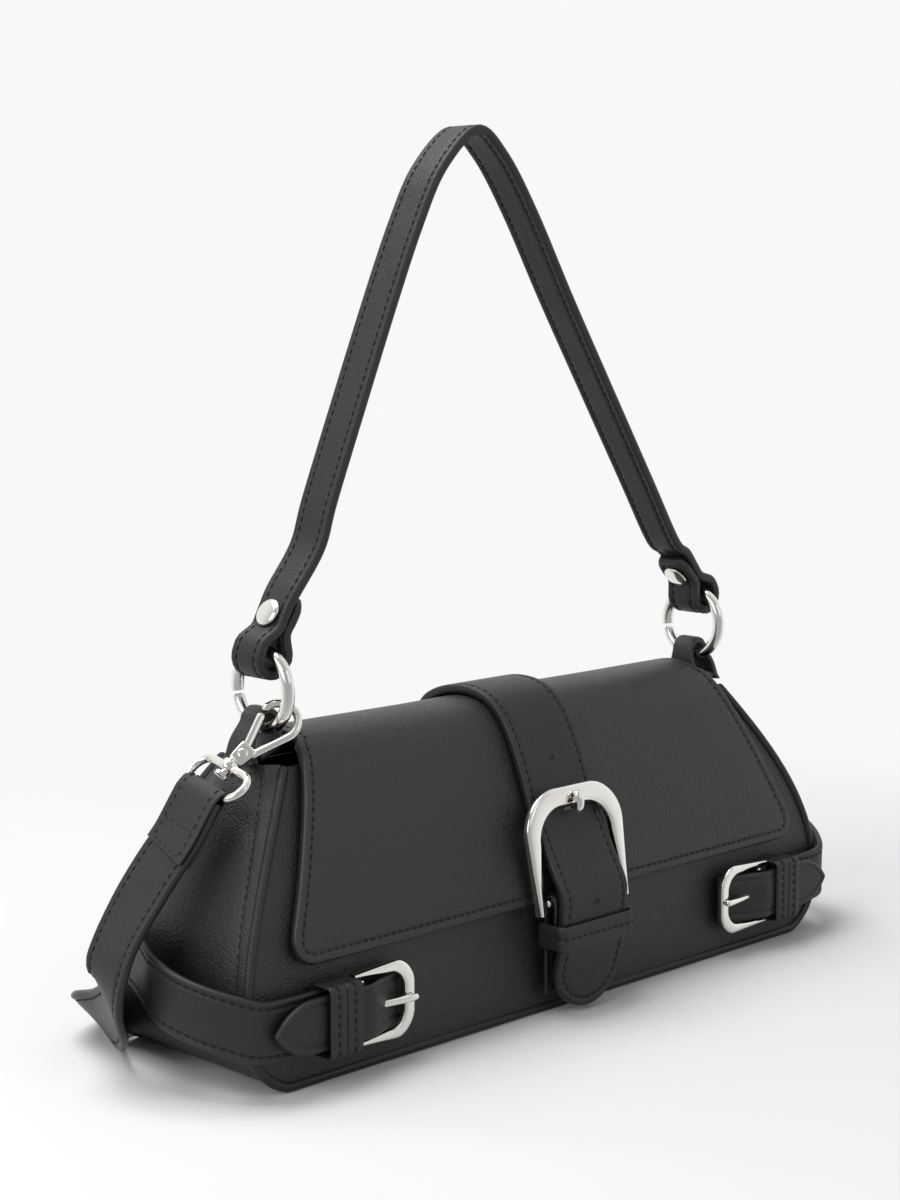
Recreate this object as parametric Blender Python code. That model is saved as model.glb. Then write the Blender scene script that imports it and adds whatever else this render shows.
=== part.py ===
"""Crossbody bag in black faux leather with a flap, a centre buckle, two side belts,
a shoulder handle on two rings and a clip-on strap.

Metres, +Z up. X runs across the bag, Y from its front (negative) to its back.
The origin is on the floor under the middle of the base.
"""
import math

import bmesh
import bpy
import numpy as np
from mathutils import Matrix, Vector

GAP = 0.0003

# Shell
BASE_HALF_WIDTH = 0.131
TOP_HALF_WIDTH = 0.100
CORNER_RADIUS = 0.020
SHELL_HEIGHT = 0.089
BASE_HALF_DEPTH = 0.0345
TOP_HALF_DEPTH = 0.014
LEAN_POWER = 1.4
PANEL_THICKNESS = 0.002
PIPING_RADIUS = 0.0015
GUSSET_BULGE = 0.007
GUSSET_BULGE_START = 0.015

# Inside
LINING_CLEARANCE = 0.0005
LINING_THICKNESS = 0.0008
LINING_TOP_DROP = 0.003
BOARD_THICKNESS = 0.0017
BOARD_MARGIN = 0.004
POCKET_HALF_WIDTH = 0.055
POCKET_BOTTOM = 0.021
POCKET_DROP = 0.022
POCKET_TOP = SHELL_HEIGHT - POCKET_DROP
POCKET_THICKNESS = 0.0009

# Flap
FLAP_THICKNESS = 0.003
FLAP_CREST_SETBACK = 0.008
FLAP_LOW_SETBACK = 0.0135
FLAP_CREST_HALF_WIDTH = TOP_HALF_WIDTH - FLAP_CREST_SETBACK
FLAP_LOW_HALF_WIDTH = BASE_HALF_WIDTH - FLAP_LOW_SETBACK
FLAP_CORNER_RADIUS = 0.011
FLAP_CREST_RISE = 0.0085
FLAP_DROP = 0.0615
FLAP_FRONT_CLEARANCE = 0.0023
FLAP_BACK_CLEARANCE = 0.0036
FLAP_CREST_Z = SHELL_HEIGHT + FLAP_CREST_RISE
FLAP_LOW_Z = FLAP_CREST_Z - FLAP_DROP
FLAP_FRONT_Y = -(BASE_HALF_DEPTH + FLAP_FRONT_CLEARANCE)
FLAP_BACK_Y = TOP_HALF_DEPTH + FLAP_BACK_CLEARANCE
SEAM_STRIP_HEIGHT = 0.022
SEAM_STRIP_DROP = 0.0028
SNAP_RADIUS = 0.007
SNAP_THICKNESS = 0.0014
SNAP_RISE = 0.011
SNAP_HEIGHT = FLAP_LOW_Z + SNAP_RISE
SNAP_PROUD = 0.0002
SNAP_SOCKET_DEPTH = 0.0012

# Centre strap
STRAP_WIDTH = 0.0298
STRAP_THICKNESS = 0.003
STRAP_END_Z = 0.0016
STRAP_TIP_LENGTH = 0.014
PRONG_SLOT_LENGTH = 0.0215
TAB_THICKNESS = 0.0012
TAB_LOW_Z = 0.007
BUCKLE_ARM_WIDTH = 0.0056
BUCKLE_SIDE_CLEARANCE = 0.0016
BUCKLE_WIDTH = STRAP_WIDTH + 2 * (BUCKLE_ARM_WIDTH + BUCKLE_SIDE_CLEARANCE)
BUCKLE_LENGTH = 0.038
BUCKLE_TIP_DROP = 0.0025
BUCKLE_LOW_Z = FLAP_LOW_Z - BUCKLE_TIP_DROP
BUCKLE_TOP_Z = BUCKLE_LOW_Z + BUCKLE_LENGTH
BUCKLE_BAR_WIDTH = 0.0062
BUCKLE_CORNER_DROP = 0.0107
BUCKLE_ARM_TIP_WIDTH = 0.0016
BUCKLE_THICKNESS = 0.0032
BUCKLE_AXLE_RADIUS = 0.0012
BUCKLE_PIN_RADIUS = 0.0008
BUCKLE_AXLE_RISE = 0.0032
BUCKLE_AXLE_REACH = 0.0035
BUCKLE_AXLE_Y = FLAP_FRONT_Y - BUCKLE_AXLE_REACH
BUCKLE_AXLE_Z = BUCKLE_LOW_Z + BUCKLE_AXLE_RISE
PRONG_RADIUS = 0.0011
KEEPER_HEIGHT = 0.0080
KEEPER_THICKNESS = 0.0014
KEEPER_DROP = 0.011
KEEPER_LOW_Z = BUCKLE_LOW_Z - KEEPER_DROP

# Side belts
BELT_HEIGHT = 0.018
BELT_THICKNESS = 0.0022
BELT_Z = 0.020
BELT_PANEL_Y = -BASE_HALF_DEPTH
BELT_LOOP_THICKNESS = 0.001
BELT_LOOP_HEIGHT = 0.0162
BELT_BOW = 0.012
BELT_RISE = 0.014
HOLE_SHARE = 0.62
BILLET_HEIGHT = 0.016
BILLET_THICKNESS = 0.0021
BILLET_SLOT_LENGTH = 0.0092
SMALL_BUCKLE_HEIGHT = 0.0235
SMALL_BUCKLE_SETBACK = 0.0595
SMALL_BUCKLE_LENGTH = 0.0241
SMALL_BUCKLE_INNER_X = BASE_HALF_WIDTH - SMALL_BUCKLE_SETBACK
SMALL_BUCKLE_OUTER_X = SMALL_BUCKLE_INNER_X + SMALL_BUCKLE_LENGTH
SMALL_BAR_WIDTH = 0.0042
SMALL_ARM_WIDTH = 0.0030
SMALL_ARM_TIP_WIDTH = 0.0010
SMALL_FRAME_THICKNESS = 0.0022
SMALL_AXLE_RADIUS = 0.0009
SMALL_PIN_RADIUS = 0.0005
SMALL_AXLE_SETBACK = 0.0031
SMALL_AXLE_REACH = 0.0040
SMALL_AXLE_X = SMALL_BUCKLE_OUTER_X - SMALL_AXLE_SETBACK
SMALL_AXLE_Y = BELT_PANEL_Y - SMALL_AXLE_REACH
SMALL_PRONG_RADIUS = 0.0009
SMALL_KEEPER_DISTANCE = 0.0100
SMALL_KEEPER_X = SMALL_AXLE_X + SMALL_KEEPER_DISTANCE
SMALL_KEEPER_LENGTH = 0.0125
SMALL_KEEPER_THICKNESS = 0.0011
BILLET_OVERHANG = 0.0245
BILLET_TIP_X = SMALL_KEEPER_X + BILLET_OVERHANG

# Rings, tabs and handle
RING_SETBACK = 0.0015
RING_RISE = 0.021
RING_X = TOP_HALF_WIDTH - RING_SETBACK
RING_Y = -0.003
RING_Z = SHELL_HEIGHT + RING_RISE
RING_RADIUS = 0.0115
RING_WIRE_RADIUS = 0.002
GATE_START_DEG = 100
GATE_END_DEG = 133
GATE_SLANT_DEG = 6
RING_SIDES = 8
GATE_PIN_RADIUS = 0.0005
GATE_END_SETBACK = 0.00045
TAB_LEATHER = 0.0021
TAB_CREST_WIDTH = 0.0084
TAB_FOOT_WIDTH = 0.020
TAB_SHIFT = 0.0013
HANDLE_WIDTH = 0.0142
HANDLE_LOOP_WIDTH = 0.013
HANDLE_THICKNESS = 0.003
HANDLE_RISE = 0.153
HANDLE_FOLD_LENGTH = 0.018
LOOP_SLACK = 0.0010
RIVET_DISTANCE = 0.0105
RIVET_POST_RADIUS = 0.0014
RIVET_HEAD_RADIUS = 0.0043
RIVET_HEAD_HEIGHT = 0.0016

# Shoulder strap and its hooks
LONG_STRAP_WIDTH = 0.020
LONG_STRAP_THICKNESS = 0.0026
HOOK_LENGTH = 0.018
HOOK_EYE_RADIUS = 0.0056
HOOK_WIRE_RADIUS = 0.00125
HOOK_PLATE_LENGTH = 0.0065
HOOK_PLATE_HALF_WIDTH = 0.0029
HOOK_PLATE_THICKNESS = 0.0034
HOOK_SLOT = 0.0018
HOOK_PIN_RADIUS = 0.0007
HOOK_PIN_HEAD_RADIUS = 0.0015
HOOK_PIN_HEAD = 0.0004
HOOK_PIN_SETBACK = 0.0033
HOOK_POST_RADIUS = 0.0012
HOOK_POST_LENGTH = 0.0062
HOOK_POST_HEAD_RADIUS = 0.0022
HOOK_POST_HEAD = 0.0012
HOOK_NOSE_DEG = -98
HOOK_RING_DEG = -131
SWIVEL_WIRE_RADIUS = 0.0012
SWIVEL_COLLAR_RADIUS = 0.0029
SWIVEL_COLLAR_LENGTH = 0.0034
SWIVEL_HALF_WIDTH = 0.0122
SWIVEL_HALF_HEIGHT = 0.0047
SWIVEL_CORNER = 0.0044


def clear_scene():
    """Remove every object of the scene."""
    for old in list(bpy.data.objects):
        bpy.data.objects.remove(old, do_unlink=True)


def make_material(name, colour, roughness, metallic=0.0):
    """Return a Principled material with a plain colour."""
    material = bpy.data.materials.new(name)
    material.use_nodes = True
    shader = material.node_tree.nodes["Principled BSDF"]
    shader.inputs["Base Color"].default_value = (*colour, 1.0)
    shader.inputs["Roughness"].default_value = roughness
    shader.inputs["Metallic"].default_value = metallic
    return material


def make_object(name, vertices, faces, material):
    """Return a mesh object with outward faces from a list of points and faces."""
    mesh = bpy.data.meshes.new(name)
    mesh.from_pydata([tuple(map(float, v)) for v in vertices], [], faces)
    work = bmesh.new()
    work.from_mesh(mesh)
    bmesh.ops.recalc_face_normals(work, faces=work.faces)
    work.to_mesh(mesh)
    work.free()
    mesh.shade_smooth()
    mesh.set_sharp_from_angle(angle=math.radians(35))
    mesh.materials.append(material)
    result = bpy.data.objects.new(name, mesh)
    bpy.context.scene.collection.objects.link(result)
    return result


def place_origin(item, point):
    """Move an object's origin to a point and leave its shape where it is."""
    item.data.transform(Matrix.Translation(-Vector(point)))
    item.location = point


def loft(name, rings, material, closed=False):
    """Join rings of equal point counts with quads, and cap the ends or close the loop."""
    count = len(rings[0])
    vertices = [point for ring in rings for point in ring]
    faces = []
    last = len(rings) if closed else len(rings) - 1
    for row in range(last):
        here = row * count
        there = (row + 1) % len(rings) * count
        for k in range(count):
            after = (k + 1) % count
            faces.append((here + k, here + after, there + after, there + k))
    if not closed:
        faces.append(tuple(range(count)))
        faces.append(tuple(range((len(rings) - 1) * count, len(rings) * count)))
    return make_object(name, vertices, faces, material)


def slab(name, front, back, material):
    """Close the space between two grids of points into one plate."""
    rows, columns = front.shape[:2]
    rings = []
    for row in range(rows):
        rings.append(list(front[row]) + list(back[row][::-1]))
    return loft(name, rings, material)


def smooth_curve(points, steps):
    """Return points on the Catmull-Rom curve through the given points."""
    points = np.asarray(points, float)
    padded = np.vstack([2 * points[0] - points[1], points, 2 * points[-1] - points[-2]])
    found = []
    for k in range(len(points) - 1):
        a, b, c, d = padded[k : k + 4]
        for t in np.linspace(0, 1, steps, endpoint=False):
            bend = (2 * a - 5 * b + 4 * c - d) * t**2 + (3 * b - a - 3 * c + d) * t**3
            found.append(b + ((c - a) * t + bend) / 2)
    return np.array(found + [points[-1]])


def unit(vectors):
    """Scale vectors to length one."""
    vectors = np.asarray(vectors, float)
    return vectors / np.linalg.norm(vectors, axis=-1, keepdims=True)


def tangents(points, closed=False):
    """Return the unit direction of a path at each of its points."""
    if closed:
        return unit(np.roll(points, -1, axis=0) - np.roll(points, 1, axis=0))
    return unit(np.gradient(points, axis=0))


def band(name, centres, across, widths, thicknesses, material, closed=False):
    """Sweep a flat rectangular section along a path; across is the width's direction."""
    centres = np.asarray(centres, float)
    along = tangents(centres, closed)
    across = np.broadcast_to(across, centres.shape)
    across = unit(across - along * np.sum(along * across, axis=1, keepdims=True))
    normal = np.cross(along, across)
    half_width = np.broadcast_to(widths, len(centres))[:, None] / 2
    half_thick = np.broadcast_to(thicknesses, len(centres))[:, None] / 2
    corners = ((1, 1), (-1, 1), (-1, -1), (1, -1))
    sides = [centres + u * half_width * across + v * half_thick * normal for u, v in corners]
    rings = [[side[k] for side in sides] for k in range(len(centres))]
    return loft(name, rings, material, closed)


STEEP_SHARE = 0.9


def tube(name, points, radii, sides, material, closed=False):
    """Sweep a round section of the given radii along a path."""
    points = np.asarray(points, float)
    along = tangents(points, closed)
    radii = np.broadcast_to(radii, len(points))
    guide = np.array([0.0, 0.0, 1.0])
    if abs(along[0] @ guide) > STEEP_SHARE:
        guide = np.array([1.0, 0.0, 0.0])
    rings = []
    for point, direction, radius in zip(points, along, radii):
        guide = unit(guide - direction * (guide @ direction))
        second = np.cross(direction, guide)
        turns = [2 * math.pi * k / sides for k in range(sides)]
        rings.append([point + radius * (math.cos(t) * guide + math.sin(t) * second) for t in turns])
    return loft(name, rings, material, closed)


def cut(item, cutter, solver="EXACT"):
    """Cut one object out of another with a Boolean modifier."""
    cutter.hide_render = True
    cutter.display_type = "WIRE"
    modifier = item.modifiers.new("cut", "BOOLEAN")
    modifier.operation = "DIFFERENCE"
    modifier.solver = solver
    modifier.object = cutter


def drill(item, name, start, end, radius, material):
    """Cut a round hole between two points through an object."""
    cut(item, tube(name, [start, end], radius, 16, material))


def half_depth(z):
    """Distance from the middle plane to a panel's outer face at a height."""
    share = np.clip(np.asarray(z, float) / SHELL_HEIGHT, 0, 1)
    return TOP_HALF_DEPTH + (BASE_HALF_DEPTH - TOP_HALF_DEPTH) * np.cos(math.pi / 2 * share**LEAN_POWER)


def outline(offset, side_steps=9, corner_steps=5):
    """Right half of the shell's outline in X and Z, moved inwards by an offset."""
    heights = np.linspace(CORNER_RADIUS, SHELL_HEIGHT, side_steps)
    share = (heights - CORNER_RADIUS) / (SHELL_HEIGHT - CORNER_RADIUS)
    spread = BASE_HALF_WIDTH - TOP_HALF_WIDTH
    widths = TOP_HALF_WIDTH + spread * np.cos(math.pi / 2 * share)
    side = np.column_stack([widths, heights])
    direction = tangents(side)
    side = side + offset * np.column_stack([-direction[:, 1], direction[:, 0]])
    turns = np.linspace(-math.pi / 2, 0, corner_steps, endpoint=False)
    radius = CORNER_RADIUS - offset
    corner_x = BASE_HALF_WIDTH - CORNER_RADIUS
    arc = np.column_stack([corner_x + radius * np.cos(turns), CORNER_RADIUS + radius * np.sin(turns)])
    return np.vstack([arc, side])


def panel_grid(offset, depth_offset, facing):
    """Grid of points over a panel: rows by height, columns across."""
    edge = outline(offset)
    column_shares = np.array([-1, -0.8, -0.5, -0.2, 0.2, 0.5, 0.8, 1])
    x = edge[:, :1] * column_shares
    z = np.broadcast_to(edge[:, 1:], x.shape)
    y = facing * (half_depth(z) - depth_offset)
    return np.stack([x, y, z], axis=2)


def build_panels(leather):
    """Front and back panels inside the piping."""
    inset = 2 * PIPING_RADIUS + GAP
    for name, facing in (("front_panel", -1), ("back_panel", 1)):
        outer = panel_grid(inset, 0.0, facing)
        inner = panel_grid(inset, PANEL_THICKNESS, facing)
        panel = slab(name, outer, inner, leather)
        if facing < 0:
            drill_snap_socket(panel, leather)


def build_piping(leather):
    """Corded edges that follow the outline from one top corner to the other."""
    path = outline(PIPING_RADIUS)
    left = path[::-1] * (-1, 1)
    path = np.vstack([left, path])
    for name, facing in (("front_piping", -1), ("back_piping", 1)):
        y = facing * (half_depth(path[:, 1]) - PIPING_RADIUS)
        points = np.column_stack([path[:, 0], y, path[:, 1]])
        tube(name, points, PIPING_RADIUS, 8, leather)


def strip_edge(z):
    """Half width in Y of the side and base strips between the pipings."""
    return half_depth(z) - 2 * PIPING_RADIUS - GAP


def gusset_bulge(z, y_share):
    """How far a gusset stands out at a height and a share of its half width."""
    share = np.clip((z - GUSSET_BULGE_START) / (SHELL_HEIGHT - GUSSET_BULGE_START), 0, 1)
    return GUSSET_BULGE * share * (1 - y_share**2)


def build_strips(leather):
    """Base panel and the two gussets that rise from it round the corners."""
    corner_x = BASE_HALF_WIDTH - CORNER_RADIUS
    edge = float(strip_edge(0.0))
    box("base_panel", (-corner_x, -edge, 0.0), (corner_x, edge, PANEL_THICKNESS), leather)
    y_shares = np.array([-1, -0.7, -0.35, 0, 0.35, 0.7, 1])
    for side, name in ((-1, "left_gusset"), (1, "right_gusset")):
        grids = []
        for offset in (0.0, PANEL_THICKNESS):
            path = outline(offset)
            path[0, 0] += GAP
            z = np.repeat(path[:, 1:], len(y_shares), axis=1)
            x = path[:, :1] + gusset_bulge(z, y_shares)
            y = strip_edge(path[:, 1:]) * y_shares
            grids.append(np.stack([side * x, y, z], axis=2))
        slab(name, grids[0], grids[1], leather)


def box(name, low, high, material):
    """A plain box between two corners."""
    x, y, z = zip(low, high)
    rings = [[(x[i], y[j], z[k]) for i, j in ((0, 0), (1, 0), (1, 1), (0, 1))] for k in (0, 1)]
    return loft(name, rings, material)


def lining_ring(offset, z):
    """One level of the lining: a loop of points at an inset and a height."""
    edge = outline(offset)
    width = np.interp(z, edge[:, 1], edge[:, 0])
    depth = float(half_depth(z)) - offset
    chamfer_share = 0.82
    corner_shares = ((-1, -chamfer_share), (-chamfer_share, -1), (0, -1), (chamfer_share, -1))
    shares = list(corner_shares) + [(1, -chamfer_share), (1, chamfer_share)]
    shares += [(chamfer_share, 1), (0, 1), (-chamfer_share, 1), (-1, chamfer_share)]
    return [(width * a, depth * b, z) for a, b in shares]


def lining_offset():
    """Inset of the lining's outer face from the shell's outline."""
    return 2 * PIPING_RADIUS + GAP + LINING_CLEARANCE


def build_inside(cloth, board):
    """Open lining pouch, base board and slip pocket."""
    outer = lining_offset()
    inner = outer + LINING_THICKNESS
    board_low = PANEL_THICKNESS + GAP
    floor = board_low + BOARD_THICKNESS + GAP
    top = SHELL_HEIGHT - LINING_TOP_DROP
    levels = np.linspace(floor, top, 8)
    inner_levels = np.linspace(floor + LINING_THICKNESS, top, 8)[::-1]
    rings = [lining_ring(outer, z) for z in levels] + [lining_ring(inner, z) for z in inner_levels]
    loft("lining", rings, cloth)
    corner_x = BASE_HALF_WIDTH - CORNER_RADIUS - BOARD_MARGIN
    board_y = float(half_depth(0.0)) - outer - BOARD_MARGIN
    low = (-corner_x, -board_y, board_low)
    box("base_board", low, (corner_x, board_y, board_low + BOARD_THICKNESS), board)
    pocket_z = np.linspace(POCKET_BOTTOM, POCKET_TOP, 6)
    back = half_depth(pocket_z) - inner - GAP
    ends = []
    for side in (-1, 1):
        front = back - POCKET_THICKNESS
        ends.append(np.stack([np.full(len(back), side * POCKET_HALF_WIDTH), back, pocket_z], axis=1))
        ends.append(np.stack([np.full(len(back), side * POCKET_HALF_WIDTH), front, pocket_z], axis=1))
    rings = [[ends[0][k], ends[2][k], ends[3][k], ends[1][k]] for k in range(len(back))]
    loft("inner_pocket", rings, cloth)


# Shares of the flap's depth and height for its outer face, from the back edge to the low edge
FLAP_PROFILE_SHARES = (
    (0.0, 0.865),
    (0.07, 0.935),
    (0.21, 0.985),
    (0.37, 1.0),
    (0.52, 0.972),
    (0.635, 0.89),
    (0.735, 0.74),
    (0.835, 0.52),
    (0.925, 0.27),
    (1.0, 0.0),
)
CREST_INDEX_SHARE = 0.44
PROFILE_STEPS = 4


def flap_profile(lift=0.0):
    """The flap's outer face in Y and Z, moved outwards by a lift."""
    shares = np.array(FLAP_PROFILE_SHARES)
    y = FLAP_BACK_Y + shares[:, 0] * (FLAP_FRONT_Y - FLAP_BACK_Y)
    z = FLAP_LOW_Z + shares[:, 1] * (FLAP_CREST_Z - FLAP_LOW_Z)
    path = smooth_curve(np.column_stack([y, z]), PROFILE_STEPS)
    direction = tangents(path)
    return path + lift * np.column_stack([direction[:, 1], -direction[:, 0]])


def crest_index():
    """Number of the profile point at which the flap folds."""
    return round(CREST_INDEX_SHARE * PROFILE_STEPS * (len(FLAP_PROFILE_SHARES) - 1))


def profile_at(z, lift=0.0):
    """Y of the flap's front at a height, moved outwards by a lift."""
    path = flap_profile(lift)[crest_index() :]
    return float(np.interp(z, path[::-1, 1], path[::-1, 0]))


def flap_half_width(z):
    """Half width of the flap at a height: it widens below the crest."""
    share = (FLAP_CREST_Z - z) / (FLAP_CREST_Z - FLAP_LOW_Z)
    return FLAP_CREST_HALF_WIDTH + (FLAP_LOW_HALF_WIDTH - FLAP_CREST_HALF_WIDTH) * share


def fold_axis():
    """Point in Y and Z on the axis of the flap's fold, on the centre strap's outer face."""
    return flap_profile(GAP + STRAP_THICKNESS)[crest_index()]


def flap_slab(name, first, last, material, widths=None):
    """A stretch of the flap between two profile points."""
    outer = flap_profile()[first:last]
    inner = flap_profile(-FLAP_THICKNESS)[first:last]
    if widths is None:
        widths = np.full(len(outer), FLAP_CREST_HALF_WIDTH)
    column_shares = np.array([-1, -0.75, -0.25, 0.25, 0.75, 1])
    x = widths[:, None] * column_shares
    grids = []
    for path in (outer, inner):
        y = np.broadcast_to(path[:, :1], x.shape)
        z = np.broadcast_to(path[:, 1:], x.shape)
        grids.append(np.stack([x, y, z], axis=2))
    return slab(name, grids[0], grids[1], material)


def flap_front_widths(path):
    """Half widths down the front of the flap, rounded in at its low corners."""
    widths = flap_half_width(path[:, 1])
    lengths = np.append(0, np.cumsum(np.linalg.norm(np.diff(path, axis=0), axis=1)))
    left = np.clip(FLAP_CORNER_RADIUS - (lengths[-1] - lengths), 0, FLAP_CORNER_RADIUS)
    return widths - FLAP_CORNER_RADIUS + np.sqrt(np.maximum(FLAP_CORNER_RADIUS**2 - left**2, 0))


def build_flap(leather, steel):
    """Seam strip on the back panel, the flap's top and its front, and the magnets."""
    split = crest_index()
    top = SHELL_HEIGHT - SEAM_STRIP_DROP
    z = np.linspace(top - SEAM_STRIP_HEIGHT, top, 5)
    inner_y = half_depth(z) + GAP
    column = np.array([-1, -0.5, 0, 0.5, 1]) * FLAP_CREST_HALF_WIDTH
    x = np.broadcast_to(column, (len(z), len(column)))
    heights = np.broadcast_to(z[:, None], x.shape)
    near = np.broadcast_to(inner_y[:, None], x.shape)
    inner = np.stack([x, near, heights], axis=2)
    outer = np.stack([x, near + FLAP_THICKNESS, heights], axis=2)
    slab("flap_seam_strip", inner, outer, leather)
    flap_top = flap_slab("flap_top", 0, split + 1, leather)
    place_origin(flap_top, (0.0, FLAP_BACK_Y, float(flap_profile()[0][1])))
    path = flap_profile()[split:]
    front = flap_slab("flap_front", split + 1, len(flap_profile()), leather, flap_front_widths(path[1:]))
    place_origin(front, (0.0, *map(float, fold_axis())))
    cut_flap_pocket(front, leather)
    build_snap(steel)


def snap_frame():
    """Centre on the panel's outer face and outward normal of the snap, in Y and Z."""
    z = SNAP_HEIGHT
    step = PANEL_THICKNESS
    slope = (half_depth(z + step) - half_depth(z - step)) / (2 * step)
    normal = unit(np.array([0.0, -1.0, float(-slope)]))
    return np.array([0.0, -float(half_depth(z)), z]), normal


def drill_snap_socket(panel, material):
    """Hole in the front panel for the snap's socket."""
    centre, normal = snap_frame()
    reach = 2 * PANEL_THICKNESS
    ends = (centre - normal * reach, centre + normal * reach)
    drill(panel, "snap_socket_hole", *ends, SNAP_RADIUS + GAP, material)


def plate_start():
    """How far the snap's plate starts outside the panel's outer face."""
    return SNAP_PROUD + GAP


def cut_flap_pocket(front, material):
    """Blind pocket in the flap's inner face for the snap's plate."""
    centre, normal = snap_frame()
    start = centre + normal * (plate_start() - GAP)
    end = centre + normal * (plate_start() + SNAP_THICKNESS + GAP)
    drill(front, "snap_plate_pocket", start, end, SNAP_RADIUS + GAP, material)


def build_snap(steel):
    """The two halves of the magnetic snap."""
    centre, normal = snap_frame()
    low = centre - normal * SNAP_SOCKET_DEPTH
    tube("snap_socket", [low, centre + normal * SNAP_PROUD], SNAP_RADIUS, 20, steel)
    start = centre + normal * plate_start()
    plate = tube("snap_plate", [start, start + normal * SNAP_THICKNESS], SNAP_RADIUS, 20, steel)
    place_origin(plate, (0.0, *map(float, fold_axis())))


def centre_strap_path():
    """Middle line of the free front strap in Y and Z, from the crest to its tip."""
    lift = GAP + STRAP_THICKNESS / 2
    upper = flap_profile(lift)[crest_index() + 1 :]
    leave_z = BUCKLE_TOP_Z - BUCKLE_BAR_WIDTH
    upper = upper[upper[:, 1] > leave_z]
    half = STRAP_THICKNESS / 2
    over_axle = BUCKLE_AXLE_Y - BUCKLE_AXLE_RADIUS - 2 * GAP - TAB_THICKNESS - half - GAP
    bend_z = leave_z - BUCKLE_BAR_WIDTH
    keeper_top = KEEPER_LOW_Z + KEEPER_HEIGHT
    points = [
        upper[-1],
        (profile_at(bend_z, lift) - half, bend_z),
        ((profile_at(bend_z, lift) + over_axle) / 2 - half, (bend_z + BUCKLE_AXLE_Z) / 2),
        (over_axle, BUCKLE_AXLE_Z + STRAP_THICKNESS),
        (over_axle, BUCKLE_AXLE_Z - STRAP_THICKNESS),
        (over_axle, keeper_top),
        (over_axle + half / 2, KEEPER_LOW_Z),
        (over_axle + STRAP_THICKNESS, (KEEPER_LOW_Z + STRAP_END_Z) / 2),
        (over_axle + STRAP_THICKNESS, STRAP_END_Z),
    ]
    return np.vstack([upper[:-1], smooth_curve(points, 3)])


def strap_face():
    """Heights and Y of the strap's outer face, by rising height."""
    path = centre_strap_path()
    direction = tangents(path)
    face = path + STRAP_THICKNESS / 2 * np.column_stack([direction[:, 1], -direction[:, 0]])
    return face[::-1, 1], face[::-1, 0]


def tip_widths(path, width, tip_length, end_share):
    """Widths along a strap that narrows in a round tip."""
    lengths = np.append(0, np.cumsum(np.linalg.norm(np.diff(path, axis=0), axis=1)))
    left = np.clip(1 - (lengths[-1] - lengths) / tip_length, 0, 1)
    return width * (end_share + (1 - end_share) * np.sqrt(np.maximum(1 - left**2, 0)))


def buckle_top():
    """Middle of the centre buckle's top edge in Y and Z, clear of the strap that passes behind it."""
    heights, face = strap_face()
    corner_z = BUCKLE_TOP_Z - BUCKLE_CORNER_DROP
    needed = []
    bar_z = BUCKLE_TOP_Z - BUCKLE_BAR_WIDTH / 2
    for z, space in ((bar_z, BUCKLE_THICKNESS / 2), (corner_z, BUCKLE_THICKNESS / 3)):
        y = float(np.interp(z, heights, face)) - space - GAP
        rise_share = (BUCKLE_TOP_Z - BUCKLE_AXLE_Z) / (z - BUCKLE_AXLE_Z)
        needed.append(BUCKLE_AXLE_Y + (y - BUCKLE_AXLE_Y) * rise_share)
    return np.array([min(needed), BUCKLE_TOP_Z])


def in_space(path, x=0.0):
    """Turn points in Y and Z into points in space."""
    return np.column_stack([np.full(len(path), x), path])


def build_centre_strap(leather, edge, steel):
    """Strap over the crest and down the front, its tab and keeper."""
    across = np.array([1.0, 0.0, 0.0])
    lift = GAP + STRAP_THICKNESS / 2
    crest = in_space(flap_profile(lift)[: crest_index() + 1])
    top = band("strap_crest", crest, across, STRAP_WIDTH, STRAP_THICKNESS, leather)
    place_origin(top, (0.0, FLAP_BACK_Y, float(flap_profile()[0][1])))
    axis = (0.0, *map(float, fold_axis()))
    path = centre_strap_path()
    round_end_share = 0.3
    widths = tip_widths(path, STRAP_WIDTH, STRAP_TIP_LENGTH, round_end_share)
    strap = band("centre_strap", in_space(path), across, widths, STRAP_THICKNESS, leather)
    place_origin(strap, axis)
    hole_z = BUCKLE_AXLE_Z + HOLE_SHARE * (BUCKLE_TOP_Z - BUCKLE_AXLE_Z) - PRONG_SLOT_LENGTH / 3
    middle = np.array([0.0, float(np.interp(hole_z, path[::-1, 1], path[::-1, 0])), hole_z])
    half_size = np.array([PRONG_RADIUS + 2 * GAP, 2 * STRAP_THICKNESS, PRONG_SLOT_LENGTH / 2])
    cut(strap, box("prong_slot", middle - half_size, middle + half_size, leather))
    build_buckle_tab(edge, axis)
    build_keeper(leather, axis)
    build_centre_buckle(axis, steel)


def build_buckle_tab(leather, axis):
    """Tab that wraps the buckle's bar and hangs behind the strap."""
    radius = BUCKLE_AXLE_RADIUS + GAP + TAB_THICKNESS / 2
    turns = np.radians(np.linspace(0, 180, 9))
    y = BUCKLE_AXLE_Y
    loop = np.column_stack([y - radius * np.cos(turns), BUCKLE_AXLE_Z + radius * np.sin(turns)])
    front_y = y - radius
    back_y = y + radius
    front_low = KEEPER_LOW_Z + KEEPER_HEIGHT / 2
    front = np.array([(front_y, front_low), (front_y, BUCKLE_AXLE_Z - radius)])
    back = np.array([(back_y, BUCKLE_AXLE_Z - radius), (back_y, front_low), (back_y, TAB_LOW_Z)])
    path = np.vstack([front, loop, back])
    tab = band("buckle_tab", in_space(path), (1.0, 0.0, 0.0), STRAP_WIDTH, TAB_THICKNESS, leather)
    place_origin(tab, axis)
    half_slot = PRONG_RADIUS + 2 * GAP
    low = (-half_slot, y - 2 * radius, BUCKLE_AXLE_Z - radius)
    high = (half_slot, y + 2 * radius, BUCKLE_AXLE_Z + 2 * radius)
    cut(tab, box("tab_slot", low, high, leather))


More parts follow.
